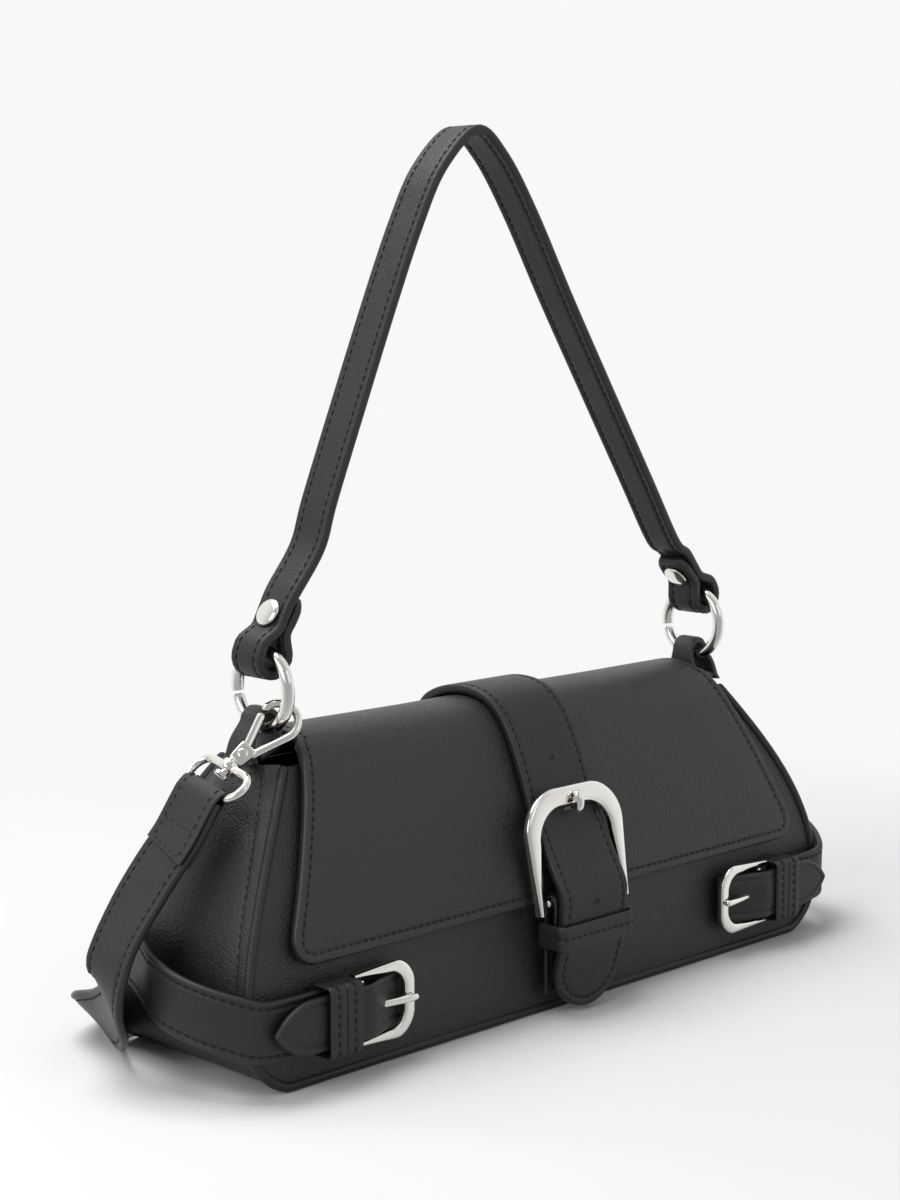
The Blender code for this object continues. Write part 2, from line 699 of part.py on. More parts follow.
def build_keeper(leather, axis):
    """Loop round the strap and the tab under the buckle."""
    half = KEEPER_THICKNESS / 2
    tab_back = BUCKLE_AXLE_Y + BUCKLE_AXLE_RADIUS + GAP + TAB_THICKNESS
    path = centre_strap_path()
    strap_y = float(np.interp(KEEPER_LOW_Z + KEEPER_HEIGHT, path[::-1, 1], path[::-1, 0]))
    front_y = strap_y - STRAP_THICKNESS / 2 - GAP - half
    back_y = tab_back + GAP + half
    side_x = STRAP_WIDTH / 2 + GAP + half
    loop = rounded_loop(side_x + GAP, (back_y - front_y) / 2, KEEPER_THICKNESS)
    centre = np.array([0.0, (front_y + back_y) / 2, KEEPER_LOW_Z + KEEPER_HEIGHT / 2])
    points = np.column_stack([loop[:, 0], loop[:, 1], np.zeros(len(loop))]) + centre
    keeper = band("centre_keeper", points, (0.0, 0.0, 1.0), KEEPER_HEIGHT, KEEPER_THICKNESS, leather, True)
    place_origin(keeper, axis)


def rounded_loop(half_x, half_y, radius, corner_steps=4):
    """Closed loop of points of a rectangle with round corners."""
    points = []
    for quarter in range(4):
        sx = (1, -1, -1, 1)[quarter]
        sy = (1, 1, -1, -1)[quarter]
        for k in range(corner_steps):
            turn = math.pi / 2 * (quarter + k / (corner_steps - 1))
            x = sx * (half_x - radius) + radius * math.cos(turn)
            y = sy * (half_y - radius) + radius * math.sin(turn)
            points.append((x, y))
    return np.array(points)


def u_frame(half_width, length, bar_width, arm_width, tip_width, steps=7):
    """Outer and inner outlines of a U-shaped buckle frame, its bar at +v."""
    radius_share = 0.62
    radius = half_width * radius_share
    turns = np.linspace(0, math.pi / 2, steps)
    outer = [(half_width - tip_width, -length)]
    arc = [(half_width - radius + radius * math.cos(t), -radius + radius * math.sin(t)) for t in turns]
    outer += arc
    inner_radius = radius - arm_width / 2
    inner_half = half_width - arm_width
    inner = [(outer[0][0] - tip_width, -length)]
    inner += [
        (
            inner_half - inner_radius + inner_radius * math.cos(t),
            -bar_width - inner_radius + inner_radius * math.sin(t),
        )
        for t in turns
    ]
    return np.array(outer), np.array(inner)


def build_frame(name, place, half_width, length, bar, arm, tip, thickness, material):
    """U-shaped frame with a crowned section; place(u, v, w) gives a point in space."""
    outer, inner = u_frame(half_width, length, bar, arm, tip)
    outer = np.vstack([outer, outer[::-1] * (-1, 1)])
    inner = np.vstack([inner, inner[::-1] * (-1, 1)])
    crown_share = 0.3
    rings = []
    for a, b in zip(outer, inner):
        rim = a + (b - a) * crown_share
        lip = b + (a - b) * crown_share
        half = thickness / 2
        section = [(a, 0.0), (rim, half), (lip, half), (b, 0.0), (lip, -half), (rim, -half)]
        rings.append([place(p[0], p[1], w) for p, w in section])
    return loft(name, rings, material)


def build_centre_buckle(axis, steel):
    """Frame, bar and prong of the centre buckle."""
    half = BUCKLE_THICKNESS / 2
    top = buckle_top()
    low = np.array([BUCKLE_AXLE_Y, BUCKLE_AXLE_Z])
    down = unit(low - top)
    out = np.array([-down[1], down[0]])
    if out[0] > 0:
        out = -out
    length = float((low - top) @ down) + (BUCKLE_AXLE_Z - BUCKLE_LOW_Z)

    def place(u, v, w):
        spot = top - down * v + out * w
        return (u, spot[0], spot[1])

    frame = build_frame(
        "centre_buckle_frame",
        place,
        BUCKLE_WIDTH / 2,
        length,
        BUCKLE_BAR_WIDTH,
        BUCKLE_ARM_WIDTH,
        BUCKLE_ARM_TIP_WIDTH,
        BUCKLE_THICKNESS,
        steel,
    )
    place_origin(frame, axis)
    axle = np.array([0.0, *low])
    across = np.array([1.0, 0.0, 0.0])
    end = BUCKLE_WIDTH / 2 - BUCKLE_ARM_TIP_WIDTH / 2
    shoulder = BUCKLE_WIDTH / 2 - BUCKLE_ARM_WIDTH
    radii = (BUCKLE_AXLE_RADIUS, BUCKLE_PIN_RADIUS)
    bar = stepped_bar("centre_buckle_bar", axle, across, (end, shoulder), radii, steel)
    place_origin(bar, axis)
    reach = across * BUCKLE_WIDTH
    drill(frame, "bar_bore", axle - reach, axle + reach, BUCKLE_PIN_RADIUS + GAP, steel)
    seat = half + GAP + PRONG_RADIUS
    foot = np.array([0.0, low[0], low[1] + BUCKLE_AXLE_RADIUS + GAP])
    lip = place(0.0, -BUCKLE_BAR_WIDTH - PRONG_RADIUS, seat)
    path = [foot, lip, place(0.0, -BUCKLE_BAR_WIDTH / 2, seat), place(0.0, -PRONG_RADIUS, seat)]
    prong = tube("centre_buckle_prong", path, PRONG_RADIUS, 8, steel)
    place_origin(prong, (0.0, *map(float, low)))


def stepped_bar(name, centre, direction, reaches, radii, material):
    """Round bar with thinner ends; reaches are its half length and its shoulder's distance."""
    end, shoulder = reaches
    thick, thin = radii
    distances = (-end, -shoulder, -shoulder, shoulder, shoulder, end)
    return turned(name, centre, direction, distances, (thin, thin, thick, thick, thin, thin), material)


def mirrored(points, side):
    """Turn points that are given for the right side to one side."""
    return np.asarray(points, float) * (side, 1, 1)


# Belt along the front: shares of the way from the keeper's start to the bow's
BELT_FRONT_SHARES = (0.123, 0.389, 0.677)
# Bow round the gusset: shares of the bow's reach, of the base's half depth and of the belt's rise
BELT_BOW_SHARES = (
    (-0.23, -1.07, 0.04),
    (0.23, -0.965, 0.17),
    (0.72, -0.73, 0.36),
    (0.98, -0.46, 0.55),
    (0.94, -0.17, 0.73),
    (0.62, 0.12, 0.86),
    (0.31, 0.41, 0.95),
    (0.18, 0.66, 1.0),
    (0.17, 0.84, 1.0),
)


def belt_path():
    """Fold round the small buckle's bar, then the belt round the gusset to the back seam."""
    radius = SMALL_AXLE_RADIUS + GAP + BELT_LOOP_THICKNESS / 2
    turns = np.radians(np.linspace(90, -90, 7))
    loop = [(SMALL_AXLE_X - radius * math.cos(t), SMALL_AXLE_Y + radius * math.sin(t)) for t in turns]
    fold_x = SMALL_KEEPER_X - SMALL_KEEPER_LENGTH / 2 - GAP
    belt_y = BELT_PANEL_Y - 2 * GAP - SMALL_KEEPER_THICKNESS - BELT_THICKNESS / 2
    keeper_start = SMALL_KEEPER_X - SMALL_KEEPER_LENGTH / 2
    near = [(fold_x, loop[0][1])] + loop
    near += [((fold_x + keeper_start) / 2, (loop[-1][1] + belt_y) / 2 - BELT_LOOP_THICKNESS / 4)]
    bow_start = BASE_HALF_WIDTH + BELT_BOW_SHARES[0][0] * BELT_BOW
    span = bow_start - keeper_start
    front = [(keeper_start + share * span, belt_y) for share in BELT_FRONT_SHARES]
    flat = [(x, y, BELT_Z) for x, y in near + front]
    bow = []
    for x_share, y_share, z_share in BELT_BOW_SHARES:
        x = BASE_HALF_WIDTH + x_share * BELT_BOW
        bow.append((x, y_share * BASE_HALF_DEPTH, BELT_Z + z_share * BELT_RISE))
    return np.array(flat), np.array(bow)


def build_side_belts(leather, edge, steel):
    """Both side belts with their buckles, keepers and billets."""
    for side, word in ((-1, "left"), (1, "right")):
        build_belt(word, side, edge)
        build_billet(word, side, leather)
        build_small_keeper(word, side, leather)
        build_small_buckle(word, side, steel)


def build_belt(word, side, leather):
    """One side belt with a slot for the prong in its fold."""
    flat, bow = belt_path()
    path = np.vstack([flat[:-1], smooth_curve(np.vstack([flat[-1:], bow]), 3)])
    folded = len(flat) - len(BELT_FRONT_SHARES)
    widths = np.full(len(path), BELT_HEIGHT)
    widths[:folded] = BELT_LOOP_HEIGHT
    thicknesses = np.full(len(path), BELT_THICKNESS)
    thicknesses[:folded] = BELT_LOOP_THICKNESS
    belt = band(word + "_belt", mirrored(path, side), (0.0, 0.0, 1.0), widths, thicknesses, leather)
    half_slot = SMALL_PRONG_RADIUS + 2 * GAP
    reach = SMALL_AXLE_RADIUS + GAP + BELT_LOOP_THICKNESS
    low = (SMALL_AXLE_X - 2 * reach, SMALL_AXLE_Y - 2 * reach, BELT_Z - half_slot)
    high = (SMALL_AXLE_X, SMALL_AXLE_Y + reach / 2, BELT_Z + half_slot)
    cut(belt, side_box(word + "_belt_slot", low, high, side, leather))


def side_box(name, low, high, side, material):
    """A box given for the right side, turned to one side."""
    a, b = mirrored([low, high], side)
    return box(name, np.minimum(a, b), np.maximum(a, b), material)


def billet_path():
    """Middle line of a billet from its root under the buckle to its tip, in X and Y."""
    half = BILLET_THICKNESS / 2
    root_y = BELT_PANEL_Y - 2 * GAP - half
    over_y = SMALL_AXLE_Y - SMALL_AXLE_RADIUS - 2 * GAP - BELT_LOOP_THICKNESS - half
    end_y = over_y + BILLET_THICKNESS / 2
    root_x = SMALL_BUCKLE_INNER_X + SMALL_BAR_WIDTH / 2
    points = [(root_x, root_y), (root_x + SMALL_BAR_WIDTH, root_y)]
    points += [(SMALL_AXLE_X - SMALL_AXLE_RADIUS * 2, over_y), (SMALL_AXLE_X + SMALL_AXLE_RADIUS, over_y)]
    points += [(SMALL_KEEPER_X, end_y), ((SMALL_KEEPER_X + BILLET_TIP_X) / 2, end_y), (BILLET_TIP_X, end_y)]
    return smooth_curve(points, 3)


def build_billet(word, side, leather):
    """Short pointed strap that passes through the small buckle."""
    path = billet_path()
    point_share = 0.12
    widths = tip_widths(path, BILLET_HEIGHT, BILLET_HEIGHT / 2, point_share)
    points = np.column_stack([path, np.full(len(path), BELT_Z)])
    up = (0.0, 0.0, 1.0)
    billet = band(word + "_billet", mirrored(points, side), up, widths, BILLET_THICKNESS, leather)
    hole_x = SMALL_BUCKLE_INNER_X + HOLE_SHARE * (SMALL_AXLE_X - SMALL_BUCKLE_INNER_X)
    middle = np.array([hole_x, SMALL_AXLE_Y, BELT_Z])
    half_size = np.array([BILLET_SLOT_LENGTH / 2, 3 * BILLET_THICKNESS, SMALL_PRONG_RADIUS + 2 * GAP])
    cut(billet, side_box(word + "_billet_slot", middle - half_size, middle + half_size, side, leather))


def build_small_keeper(word, side, leather):
    """Loop round a belt and its billet."""
    half = SMALL_KEEPER_THICKNESS / 2
    back_y = BELT_PANEL_Y - GAP - half
    billet_y = float(np.interp(SMALL_KEEPER_X - SMALL_KEEPER_LENGTH / 2, *billet_path().T))
    front_y = billet_y - BILLET_THICKNESS / 2 - GAP - half
    half_z = BELT_HEIGHT / 2 + GAP + half + GAP
    loop = rounded_loop((back_y - front_y) / 2, half_z, SMALL_KEEPER_THICKNESS)
    centre = np.array([SMALL_KEEPER_X, (front_y + back_y) / 2, BELT_Z])
    points = np.column_stack([np.zeros(len(loop)), loop]) + centre
    band(
        word + "_belt_keeper",
        mirrored(points, side),
        (1.0, 0.0, 0.0),
        SMALL_KEEPER_LENGTH,
        SMALL_KEEPER_THICKNESS,
        leather,
        True,
    )


def build_small_buckle(word, side, steel):
    """Frame, bar and prong of one side buckle."""
    half = SMALL_FRAME_THICKNESS / 2

    def place(u, v, w):
        return (side * (SMALL_BUCKLE_INNER_X - v), SMALL_AXLE_Y - w, BELT_Z + u)

    length = SMALL_BUCKLE_OUTER_X - SMALL_BUCKLE_INNER_X
    half_height = SMALL_BUCKLE_HEIGHT / 2
    frame = build_frame(
        word + "_buckle_frame",
        place,
        half_height,
        length,
        SMALL_BAR_WIDTH,
        SMALL_ARM_WIDTH,
        SMALL_ARM_TIP_WIDTH,
        SMALL_FRAME_THICKNESS,
        steel,
    )
    axle = np.array([side * SMALL_AXLE_X, SMALL_AXLE_Y, BELT_Z])
    up = np.array([0.0, 0.0, 1.0])
    reaches = (half_height - SMALL_ARM_TIP_WIDTH, half_height - SMALL_ARM_WIDTH)
    stepped_bar(word + "_buckle_bar", axle, up, reaches, (SMALL_AXLE_RADIUS, SMALL_PIN_RADIUS), steel)
    reach = up * SMALL_BUCKLE_HEIGHT
    drill(frame, word + "_bar_bore", axle - reach, axle + reach, SMALL_PIN_RADIUS + GAP, steel)
    seat = half + GAP + SMALL_PRONG_RADIUS
    foot = (side * (SMALL_AXLE_X - SMALL_AXLE_RADIUS - GAP), SMALL_AXLE_Y, BELT_Z)
    lip = place(0.0, -SMALL_BAR_WIDTH - SMALL_PRONG_RADIUS, seat)
    path = [foot, lip, place(0.0, -SMALL_PRONG_RADIUS, seat)]
    prong = tube(word + "_buckle_prong", path, SMALL_PRONG_RADIUS, 8, steel)
    place_origin(prong, axle)


def build_metal_rings(steel, leather):
    """Rings with their gates, the tabs that hold them."""
    for side, word in ((-1, "left"), (1, "right")):
        centre = np.array([side * RING_X, RING_Y, RING_Z])
        build_ring(word, centre, steel)
        build_ring_tab(word, side, leather)


def ring_point(centre, degrees, radius=RING_RADIUS):
    """Point of a ring; the angle runs from its top towards the back."""
    turn = math.radians(degrees)
    return centre + np.array([0.0, radius * math.sin(turn), radius * math.cos(turn)])


def ring_section(centre, degrees, wire=RING_WIRE_RADIUS, reach=0.0):
    """Section of a ring's wire; with a reach, its points slide to that distance from the gate's pivot."""
    section = []
    for k in range(RING_SIDES):
        turn = 2 * math.pi * k / RING_SIDES
        radius = RING_RADIUS + wire * math.cos(turn)
        place_deg = degrees
        if reach:
            cosine = (RING_RADIUS**2 + radius**2 - reach**2) / (2 * RING_RADIUS * radius)
            place_deg = GATE_START_DEG + math.degrees(math.acos(cosine))
        aside = np.array([wire * math.sin(turn), 0.0, 0.0])
        section.append(ring_point(centre, place_deg, radius) + aside)
    return section


def build_ring(word, centre, steel):
    """Open ring, its gate and the gate's pin; the gate's free end is round about its pivot."""
    half_gap_deg = math.degrees(GAP / RING_RADIUS)
    reach = 2 * RING_RADIUS * math.sin(math.radians(GATE_END_DEG - GATE_START_DEG) / 2)
    turns = np.linspace(GATE_END_DEG + GATE_SLANT_DEG, GATE_START_DEG + 360 - half_gap_deg, 41)
    sections = [ring_section(centre, GATE_END_DEG, RING_WIRE_RADIUS, reach + GAP)]
    ring = loft(word + "_ring", sections + [ring_section(centre, t) for t in turns], steel)
    place_origin(ring, centre)
    end_deg = math.degrees(GATE_END_SETBACK / RING_RADIUS)
    full_deg = end_deg + math.degrees(RING_WIRE_RADIUS / 2 / RING_RADIUS)
    sections = [ring_section(centre, GATE_START_DEG + end_deg, RING_WIRE_RADIUS / 2)]
    turns = np.linspace(GATE_START_DEG + full_deg, GATE_END_DEG - GATE_SLANT_DEG, 7)
    sections += [ring_section(centre, t) for t in turns]
    sections.append(ring_section(centre, GATE_END_DEG, RING_WIRE_RADIUS, reach))
    gate = loft(word + "_ring_gate", sections, steel)
    pivot = ring_point(centre, GATE_START_DEG)
    place_origin(gate, pivot)
    half_pin = np.array([RING_WIRE_RADIUS, 0.0, 0.0])
    tube(word + "_ring_pin", [pivot - half_pin, pivot + half_pin], GATE_PIN_RADIUS, 10, steel)
    reach = 2 * half_pin
    for piece, label in ((ring, "_ring_pin_hole"), (gate, "_gate_pin_hole")):
        drill(piece, word + label, pivot - reach, pivot + reach, GATE_PIN_RADIUS + GAP, steel)


def build_ring_tab(word, side, leather):
    """Leather tongue that rises from the gusset, passes over the ring and returns inside."""
    half = TAB_LEATHER / 2
    bore = RING_WIRE_RADIUS + 2 * GAP
    radius = bore + half
    sag = RING_RADIUS - math.sqrt(RING_RADIUS**2 - (TAB_CREST_WIDTH / 2 + TAB_SHIFT) ** 2)
    crest_z = RING_Z - RING_RADIUS + sag + GAP
    foot_x = TOP_HALF_WIDTH + GUSSET_BULGE - half
    foot_z = SHELL_HEIGHT + 2 * GAP
    inner_x = foot_x - TAB_LEATHER - GAP
    turns = np.radians(np.linspace(0, 180, 9))
    loop = np.column_stack([RING_X + radius * np.cos(turns), crest_z + radius * np.sin(turns)])
    outer = smooth_curve([(foot_x, foot_z), (foot_x - half / 2, (foot_z + crest_z) / 2), loop[0]], 3)
    waist_z = RING_Z - RING_RADIUS - RING_WIRE_RADIUS - 2 * GAP - TAB_LEATHER
    waist = (RING_X - radius + half / 2, waist_z)
    inner = smooth_curve([loop[-1], waist, (inner_x, foot_z + TAB_LEATHER / 2)], 3)
    path = np.vstack([outer[:-1], loop, inner[1:]])
    share = np.clip((path[:, 1] - foot_z) / (crest_z - foot_z), 0, 1)
    widths = TAB_FOOT_WIDTH + (TAB_CREST_WIDTH - TAB_FOOT_WIDTH) * np.sqrt(share)
    points = np.column_stack([side * path[:, 0], np.full(len(path), RING_Y + TAB_SHIFT), path[:, 1]])
    band(word + "_tab", points, (0.0, 1.0, 0.0), widths, TAB_LEATHER, leather)


# Handle's middle line between its two loops, as shares of half the ring spacing and of the rise
HANDLE_SHARES = (
    (-0.820, 0.190),
    (-0.769, 0.279),
    (-0.645, 0.469),
    (-0.516, 0.663),
    (-0.411, 0.810),
    (-0.310, 0.922),
    (-0.162, 1.0),
    (-0.041, 0.954),
    (0.096, 0.840),
    (0.271, 0.662),
    (0.493, 0.446),
    (0.690, 0.255),
    (0.827, 0.122),
)


def leg_frame(side):
    """Direction up a handle leg from its ring, and outwards across it, in X and Z."""
    first = HANDLE_SHARES[0] if side < 0 else HANDLE_SHARES[-1]
    span = RING_X
    target = np.array([first[0] * span, RING_Z + RING_RADIUS + first[1] * HANDLE_RISE])
    along = unit(target - np.array([side * RING_X, RING_Z + RING_RADIUS]))
    outward = np.array([along[1], -along[0]]) * side
    if outward[0] * side < 0:
        outward = -outward
    return along, outward


def leg_point(side, out, up):
    """Point of a handle leg in X and Z from its ring's top wire."""
    along, outward = leg_frame(side)
    return np.array([side * RING_X, RING_Z + RING_RADIUS]) + outward * out + along * up


def handle_end(side):
    """Fold-back, loop and first stretch of one end of the handle, in X and Z."""
    half = HANDLE_THICKNESS / 2
    bore = RING_WIRE_RADIUS + GAP
    drop = RING_RADIUS - math.sqrt(RING_RADIUS**2 - (HANDLE_LOOP_WIDTH / 2) ** 2)
    along, outward = leg_frame(side)
    shift = drop * outward[1]
    sag = drop * along[1]
    radius = RING_WIRE_RADIUS + shift / 2 + LOOP_SLACK + half
    middle = -shift / 2
    layer = half + GAP / 2
    fold_top = HANDLE_FOLD_LENGTH
    neck = RIVET_DISTANCE - RIVET_HEAD_RADIUS
    points = [(-layer, fold_top), (-layer, RIVET_DISTANCE), (-layer, neck), (middle - radius, bore / 2)]
    turns = np.radians(np.linspace(0, 180, 9))
    points += [(middle - radius * math.cos(t), -sag - radius * math.sin(t)) for t in turns]
    points += [(middle + radius, bore / 2), (layer, neck), (layer, RIVET_DISTANCE), (layer, fold_top)]
    return np.array([leg_point(side, out, up) for out, up in points])


def build_handle(leather, steel):
    """Handle strap with its loops, and the rivets through them."""
    left = handle_end(-1)
    right = handle_end(1)[::-1]
    span = RING_X
    shares = np.array(HANDLE_SHARES)
    main = np.column_stack([shares[:, 0] * span, RING_Z + RING_RADIUS + shares[:, 1] * HANDLE_RISE])
    joined = smooth_curve(np.vstack([left[-2:], main, right[:2]]), 3)
    path = np.vstack([left[:-2], joined, right[2:]])
    points = np.column_stack([path[:, 0], np.full(len(path), RING_Y), path[:, 1]])
    widths = np.full(len(path), HANDLE_WIDTH)
    neck = len(left) - 3
    widths[2:neck] = HANDLE_LOOP_WIDTH
    widths[-neck:-2] = HANDLE_LOOP_WIDTH
    widths[[0, -1]] = HANDLE_LOOP_WIDTH
    handle = band("handle_strap", points, (0.0, 1.0, 0.0), widths, HANDLE_THICKNESS, leather)
    place_origin(handle, (0.0, RING_Y, RING_Z))
    for side, word in ((-1, "left"), (1, "right")):
        outward = leg_frame(side)[1]
        middle = leg_point(side, 0.0, RIVET_DISTANCE)
        base = np.array([middle[0], RING_Y, middle[1]])
        direction = np.array([outward[0], 0.0, outward[1]])
        build_rivet(word, base, direction, handle, leather, steel)


def build_rivet(word, base, direction, handle, leather, steel):
    """Rivet with its post and outer head, and the cap on the other face."""
    face = HANDLE_THICKNESS + GAP / 2
    hole = RIVET_POST_RADIUS + GAP
    reach = face + RIVET_HEAD_HEIGHT
    drill(handle, word + "_rivet_hole", base - direction * reach, base + direction * reach, hole, leather)
    under = face + GAP
    crown_share = 0.6
    distances = (-under, under, under, under + RIVET_HEAD_HEIGHT / 2, under + RIVET_HEAD_HEIGHT)
    crown = RIVET_HEAD_RADIUS * crown_share
    radii = (RIVET_POST_RADIUS, RIVET_POST_RADIUS, RIVET_HEAD_RADIUS, RIVET_HEAD_RADIUS, crown)
    turned(word + "_rivet", base, direction, distances, radii, steel)
    low = under + GAP
    distances = (-low, -low - RIVET_HEAD_HEIGHT / 2, -low - RIVET_HEAD_HEIGHT)
    radii = (RIVET_HEAD_RADIUS, RIVET_HEAD_RADIUS, crown)
    turned(word + "_rivet_cap", base, direction, distances, radii, steel)


def turned(name, base, direction, distances, radii, material, sides=16):
    """Round piece with the given radii at distances along its axis."""
    direction = unit(direction)
    lies_in_y = abs(direction[1]) >= abs(direction[0]) + abs(direction[2])
    side_guide = (0.0, 0.0, 1.0) if lies_in_y else (0.0, 1.0, 0.0)
    guide = unit(np.cross(direction, side_guide))
    second = np.cross(direction, guide)
    turns = [2 * math.pi * k / sides for k in range(sides)]
    rings = []
    for distance, radius in zip(distances, radii):
        middle = np.asarray(base) + direction * distance
        rings.append([middle + radius * (math.cos(t) * guide + math.sin(t) * second) for t in turns])
    return loft(name, rings, material)


# Directions of the left hook: along it towards the ring it hangs on, and its plane's normal
LEFT_HOOK_ALONG = (0.79, -0.17, 0.59)
LEFT_HOOK_NORMAL = (0.425, 0.695, -0.58)
# The right hook lies flat on the folded strap behind the bag
RIGHT_HOOK_ALONG = (1.0, 0.0, 0.0)
RIGHT_HOOK_NORMAL = (0.0, 0.0, -1.0)


def hook_frames():
    """Start of the plate and the axes along, across and normal of both hooks."""
    along = unit(LEFT_HOOK_ALONG)
    normal = unit(np.array(LEFT_HOOK_NORMAL) - along * np.dot(LEFT_HOOK_NORMAL, along))
    across = np.cross(normal, along)
    wire = ring_point(np.array([-RING_X, RING_Y, RING_Z]), HOOK_RING_DEG)
    slack = HOOK_EYE_RADIUS - HOOK_WIRE_RADIUS - RING_WIRE_RADIUS / abs(normal @ ring_along()) - 2 * GAP
    start = wire - along * (HOOK_LENGTH + slack)
    right_along = np.array(RIGHT_HOOK_ALONG)
    right_normal = np.array(RIGHT_HOOK_NORMAL)
    right_start = long_strap_path()[0][-1] + right_along * (swivel_reach() + LONG_STRAP_END_GAP)
    return {
        "left": (start, along, across, normal),
        "right": (right_start, right_along, np.cross(right_normal, right_along), right_normal),
    }


def ring_along():
    """Direction of the ring's wire where the left hook hangs."""
    turn = math.radians(HOOK_RING_DEG)
    return np.array([0.0, math.cos(turn), -math.sin(turn)])


def swivel_reach():
    """Distance from the swivel bar's middle to the start of the hook's plate."""
    return 2 * SWIVEL_HALF_HEIGHT + SWIVEL_COLLAR_LENGTH / 2 + GAP


def build_hooks(steel):
    """Both snap hooks with their gates, pins and swivel loops."""
    for word, frame in hook_frames().items():
        build_hook(word, frame, steel)


def build_hook(word, frame, steel):
    """One hook: a plate and post with an open eye, the gate, its pin and the swivel loop."""
    start, along, across, normal = frame

    def place(u, w, v=0.0):
        return start + along * u + across * w + normal * v

    plate_half = HOOK_PLATE_THICKNESS / 2
    taper_share = 0.8
    rings = []
    for u, half in ((0.0, HOOK_PLATE_HALF_WIDTH * taper_share), (HOOK_PLATE_LENGTH, HOOK_PLATE_HALF_WIDTH)):
        corners = ((half, plate_half), (-half, plate_half), (-half, -plate_half), (half, -plate_half))
        rings.append([place(u, w, v) for w, v in corners])
    body = loft(word + "_hook_body", rings, steel)
    lean = math.asin((HOOK_EYE_RADIUS - HOOK_PLATE_HALF_WIDTH) / (HOOK_LENGTH - HOOK_PLATE_LENGTH))
    turns = np.radians(np.linspace(90 + math.degrees(lean), HOOK_NOSE_DEG, 17))
    root_u = HOOK_PLATE_LENGTH - 2 * HOOK_WIRE_RADIUS
    root_w = HOOK_PLATE_HALF_WIDTH - HOOK_WIRE_RADIUS
    arm = [place(root_u, root_w)]
    arm += [place(HOOK_LENGTH + HOOK_EYE_RADIUS * math.cos(t), HOOK_EYE_RADIUS * math.sin(t)) for t in turns]
    join(body, tube(word + "_hook_wire", arm, HOOK_WIRE_RADIUS, 10, steel))
    post_end = -HOOK_POST_LENGTH
    distances = (HOOK_PLATE_THICKNESS / 2, post_end + HOOK_POST_HEAD, post_end + HOOK_POST_HEAD, post_end)
    radii = (HOOK_POST_RADIUS, HOOK_POST_RADIUS, HOOK_POST_HEAD_RADIUS, HOOK_POST_RADIUS)
    join(body, turned(word + "_hook_post", start, along, distances, radii, steel))
    slot_half = HOOK_SLOT / 2
    slot_u = HOOK_PIN_SETBACK - HOOK_PIN_RADIUS - 4 * GAP - HOOK_WIRE_RADIUS / 2
    slot = []
    for u in (slot_u, HOOK_LENGTH - HOOK_EYE_RADIUS):
        side = HOOK_WIRE_RADIUS + GAP
        low = -HOOK_EYE_RADIUS
        corners = ((side, slot_half), (low, slot_half), (low, -slot_half), (side, -slot_half))
        slot.append([place(u, w, v) for w, v in corners])
    cut(body, loft(word + "_hook_slot", slot, steel))
    build_hook_gate(word, place, steel)
    pivot = place(HOOK_PIN_SETBACK, 0.0)
    hole = HOOK_PIN_RADIUS + GAP
    reach = normal * HOOK_PLATE_THICKNESS
    drill(body, word + "_hook_pin_hole", pivot - reach, pivot + reach, hole, steel)
    under = plate_half + GAP
    top = under + HOOK_PIN_HEAD
    distances = (-top, -under, -under, under, under, top)
    head = HOOK_PIN_HEAD_RADIUS
    radii = (head, head, HOOK_PIN_RADIUS, HOOK_PIN_RADIUS, head, head)
    turned(word + "_hook_pin", pivot, normal, distances, radii, steel)
    build_swivel(word, place, along, steel)


def build_hook_gate(word, place, steel):
    """Gate that closes the hook's eye; its root turns on the pin inside the plate's slot."""
    nose = math.radians(HOOK_NOSE_DEG)
    nose_u = HOOK_LENGTH + HOOK_EYE_RADIUS * math.cos(nose)
    nose_w = HOOK_EYE_RADIUS * math.sin(nose)
    length = math.hypot(nose_u - HOOK_PIN_SETBACK, nose_w)
    slope = nose_w / length
    run = (nose_u - HOOK_PIN_SETBACK) / length
    half_thick = HOOK_SLOT / 2 - GAP
    rings = []
    stations = (-HOOK_WIRE_RADIUS, 0.0, HOOK_PIN_SETBACK, length - HOOK_WIRE_RADIUS, length - 2 * GAP)
    half_widths = [HOOK_WIRE_RADIUS] * len(stations)
    half_widths[0] = HOOK_WIRE_RADIUS / 2
    for along, half in zip(stations, half_widths):
        section = []
        for w, v in ((half, half_thick), (-half, half_thick), (-half, -half_thick), (half, -half_thick)):
            section.append(place(HOOK_PIN_SETBACK + run * along - slope * w, slope * along + run * w, v))
        rings.append(section)
    gate = loft(word + "_hook_gate", rings, steel)
    pivot = place(HOOK_PIN_SETBACK, 0.0)
    axis = place(HOOK_PIN_SETBACK, 0.0, HOOK_SLOT) - pivot
    drill(gate, word + "_gate_hole", pivot - axis, pivot + axis, HOOK_PIN_RADIUS + GAP, steel)
    place_origin(gate, pivot)


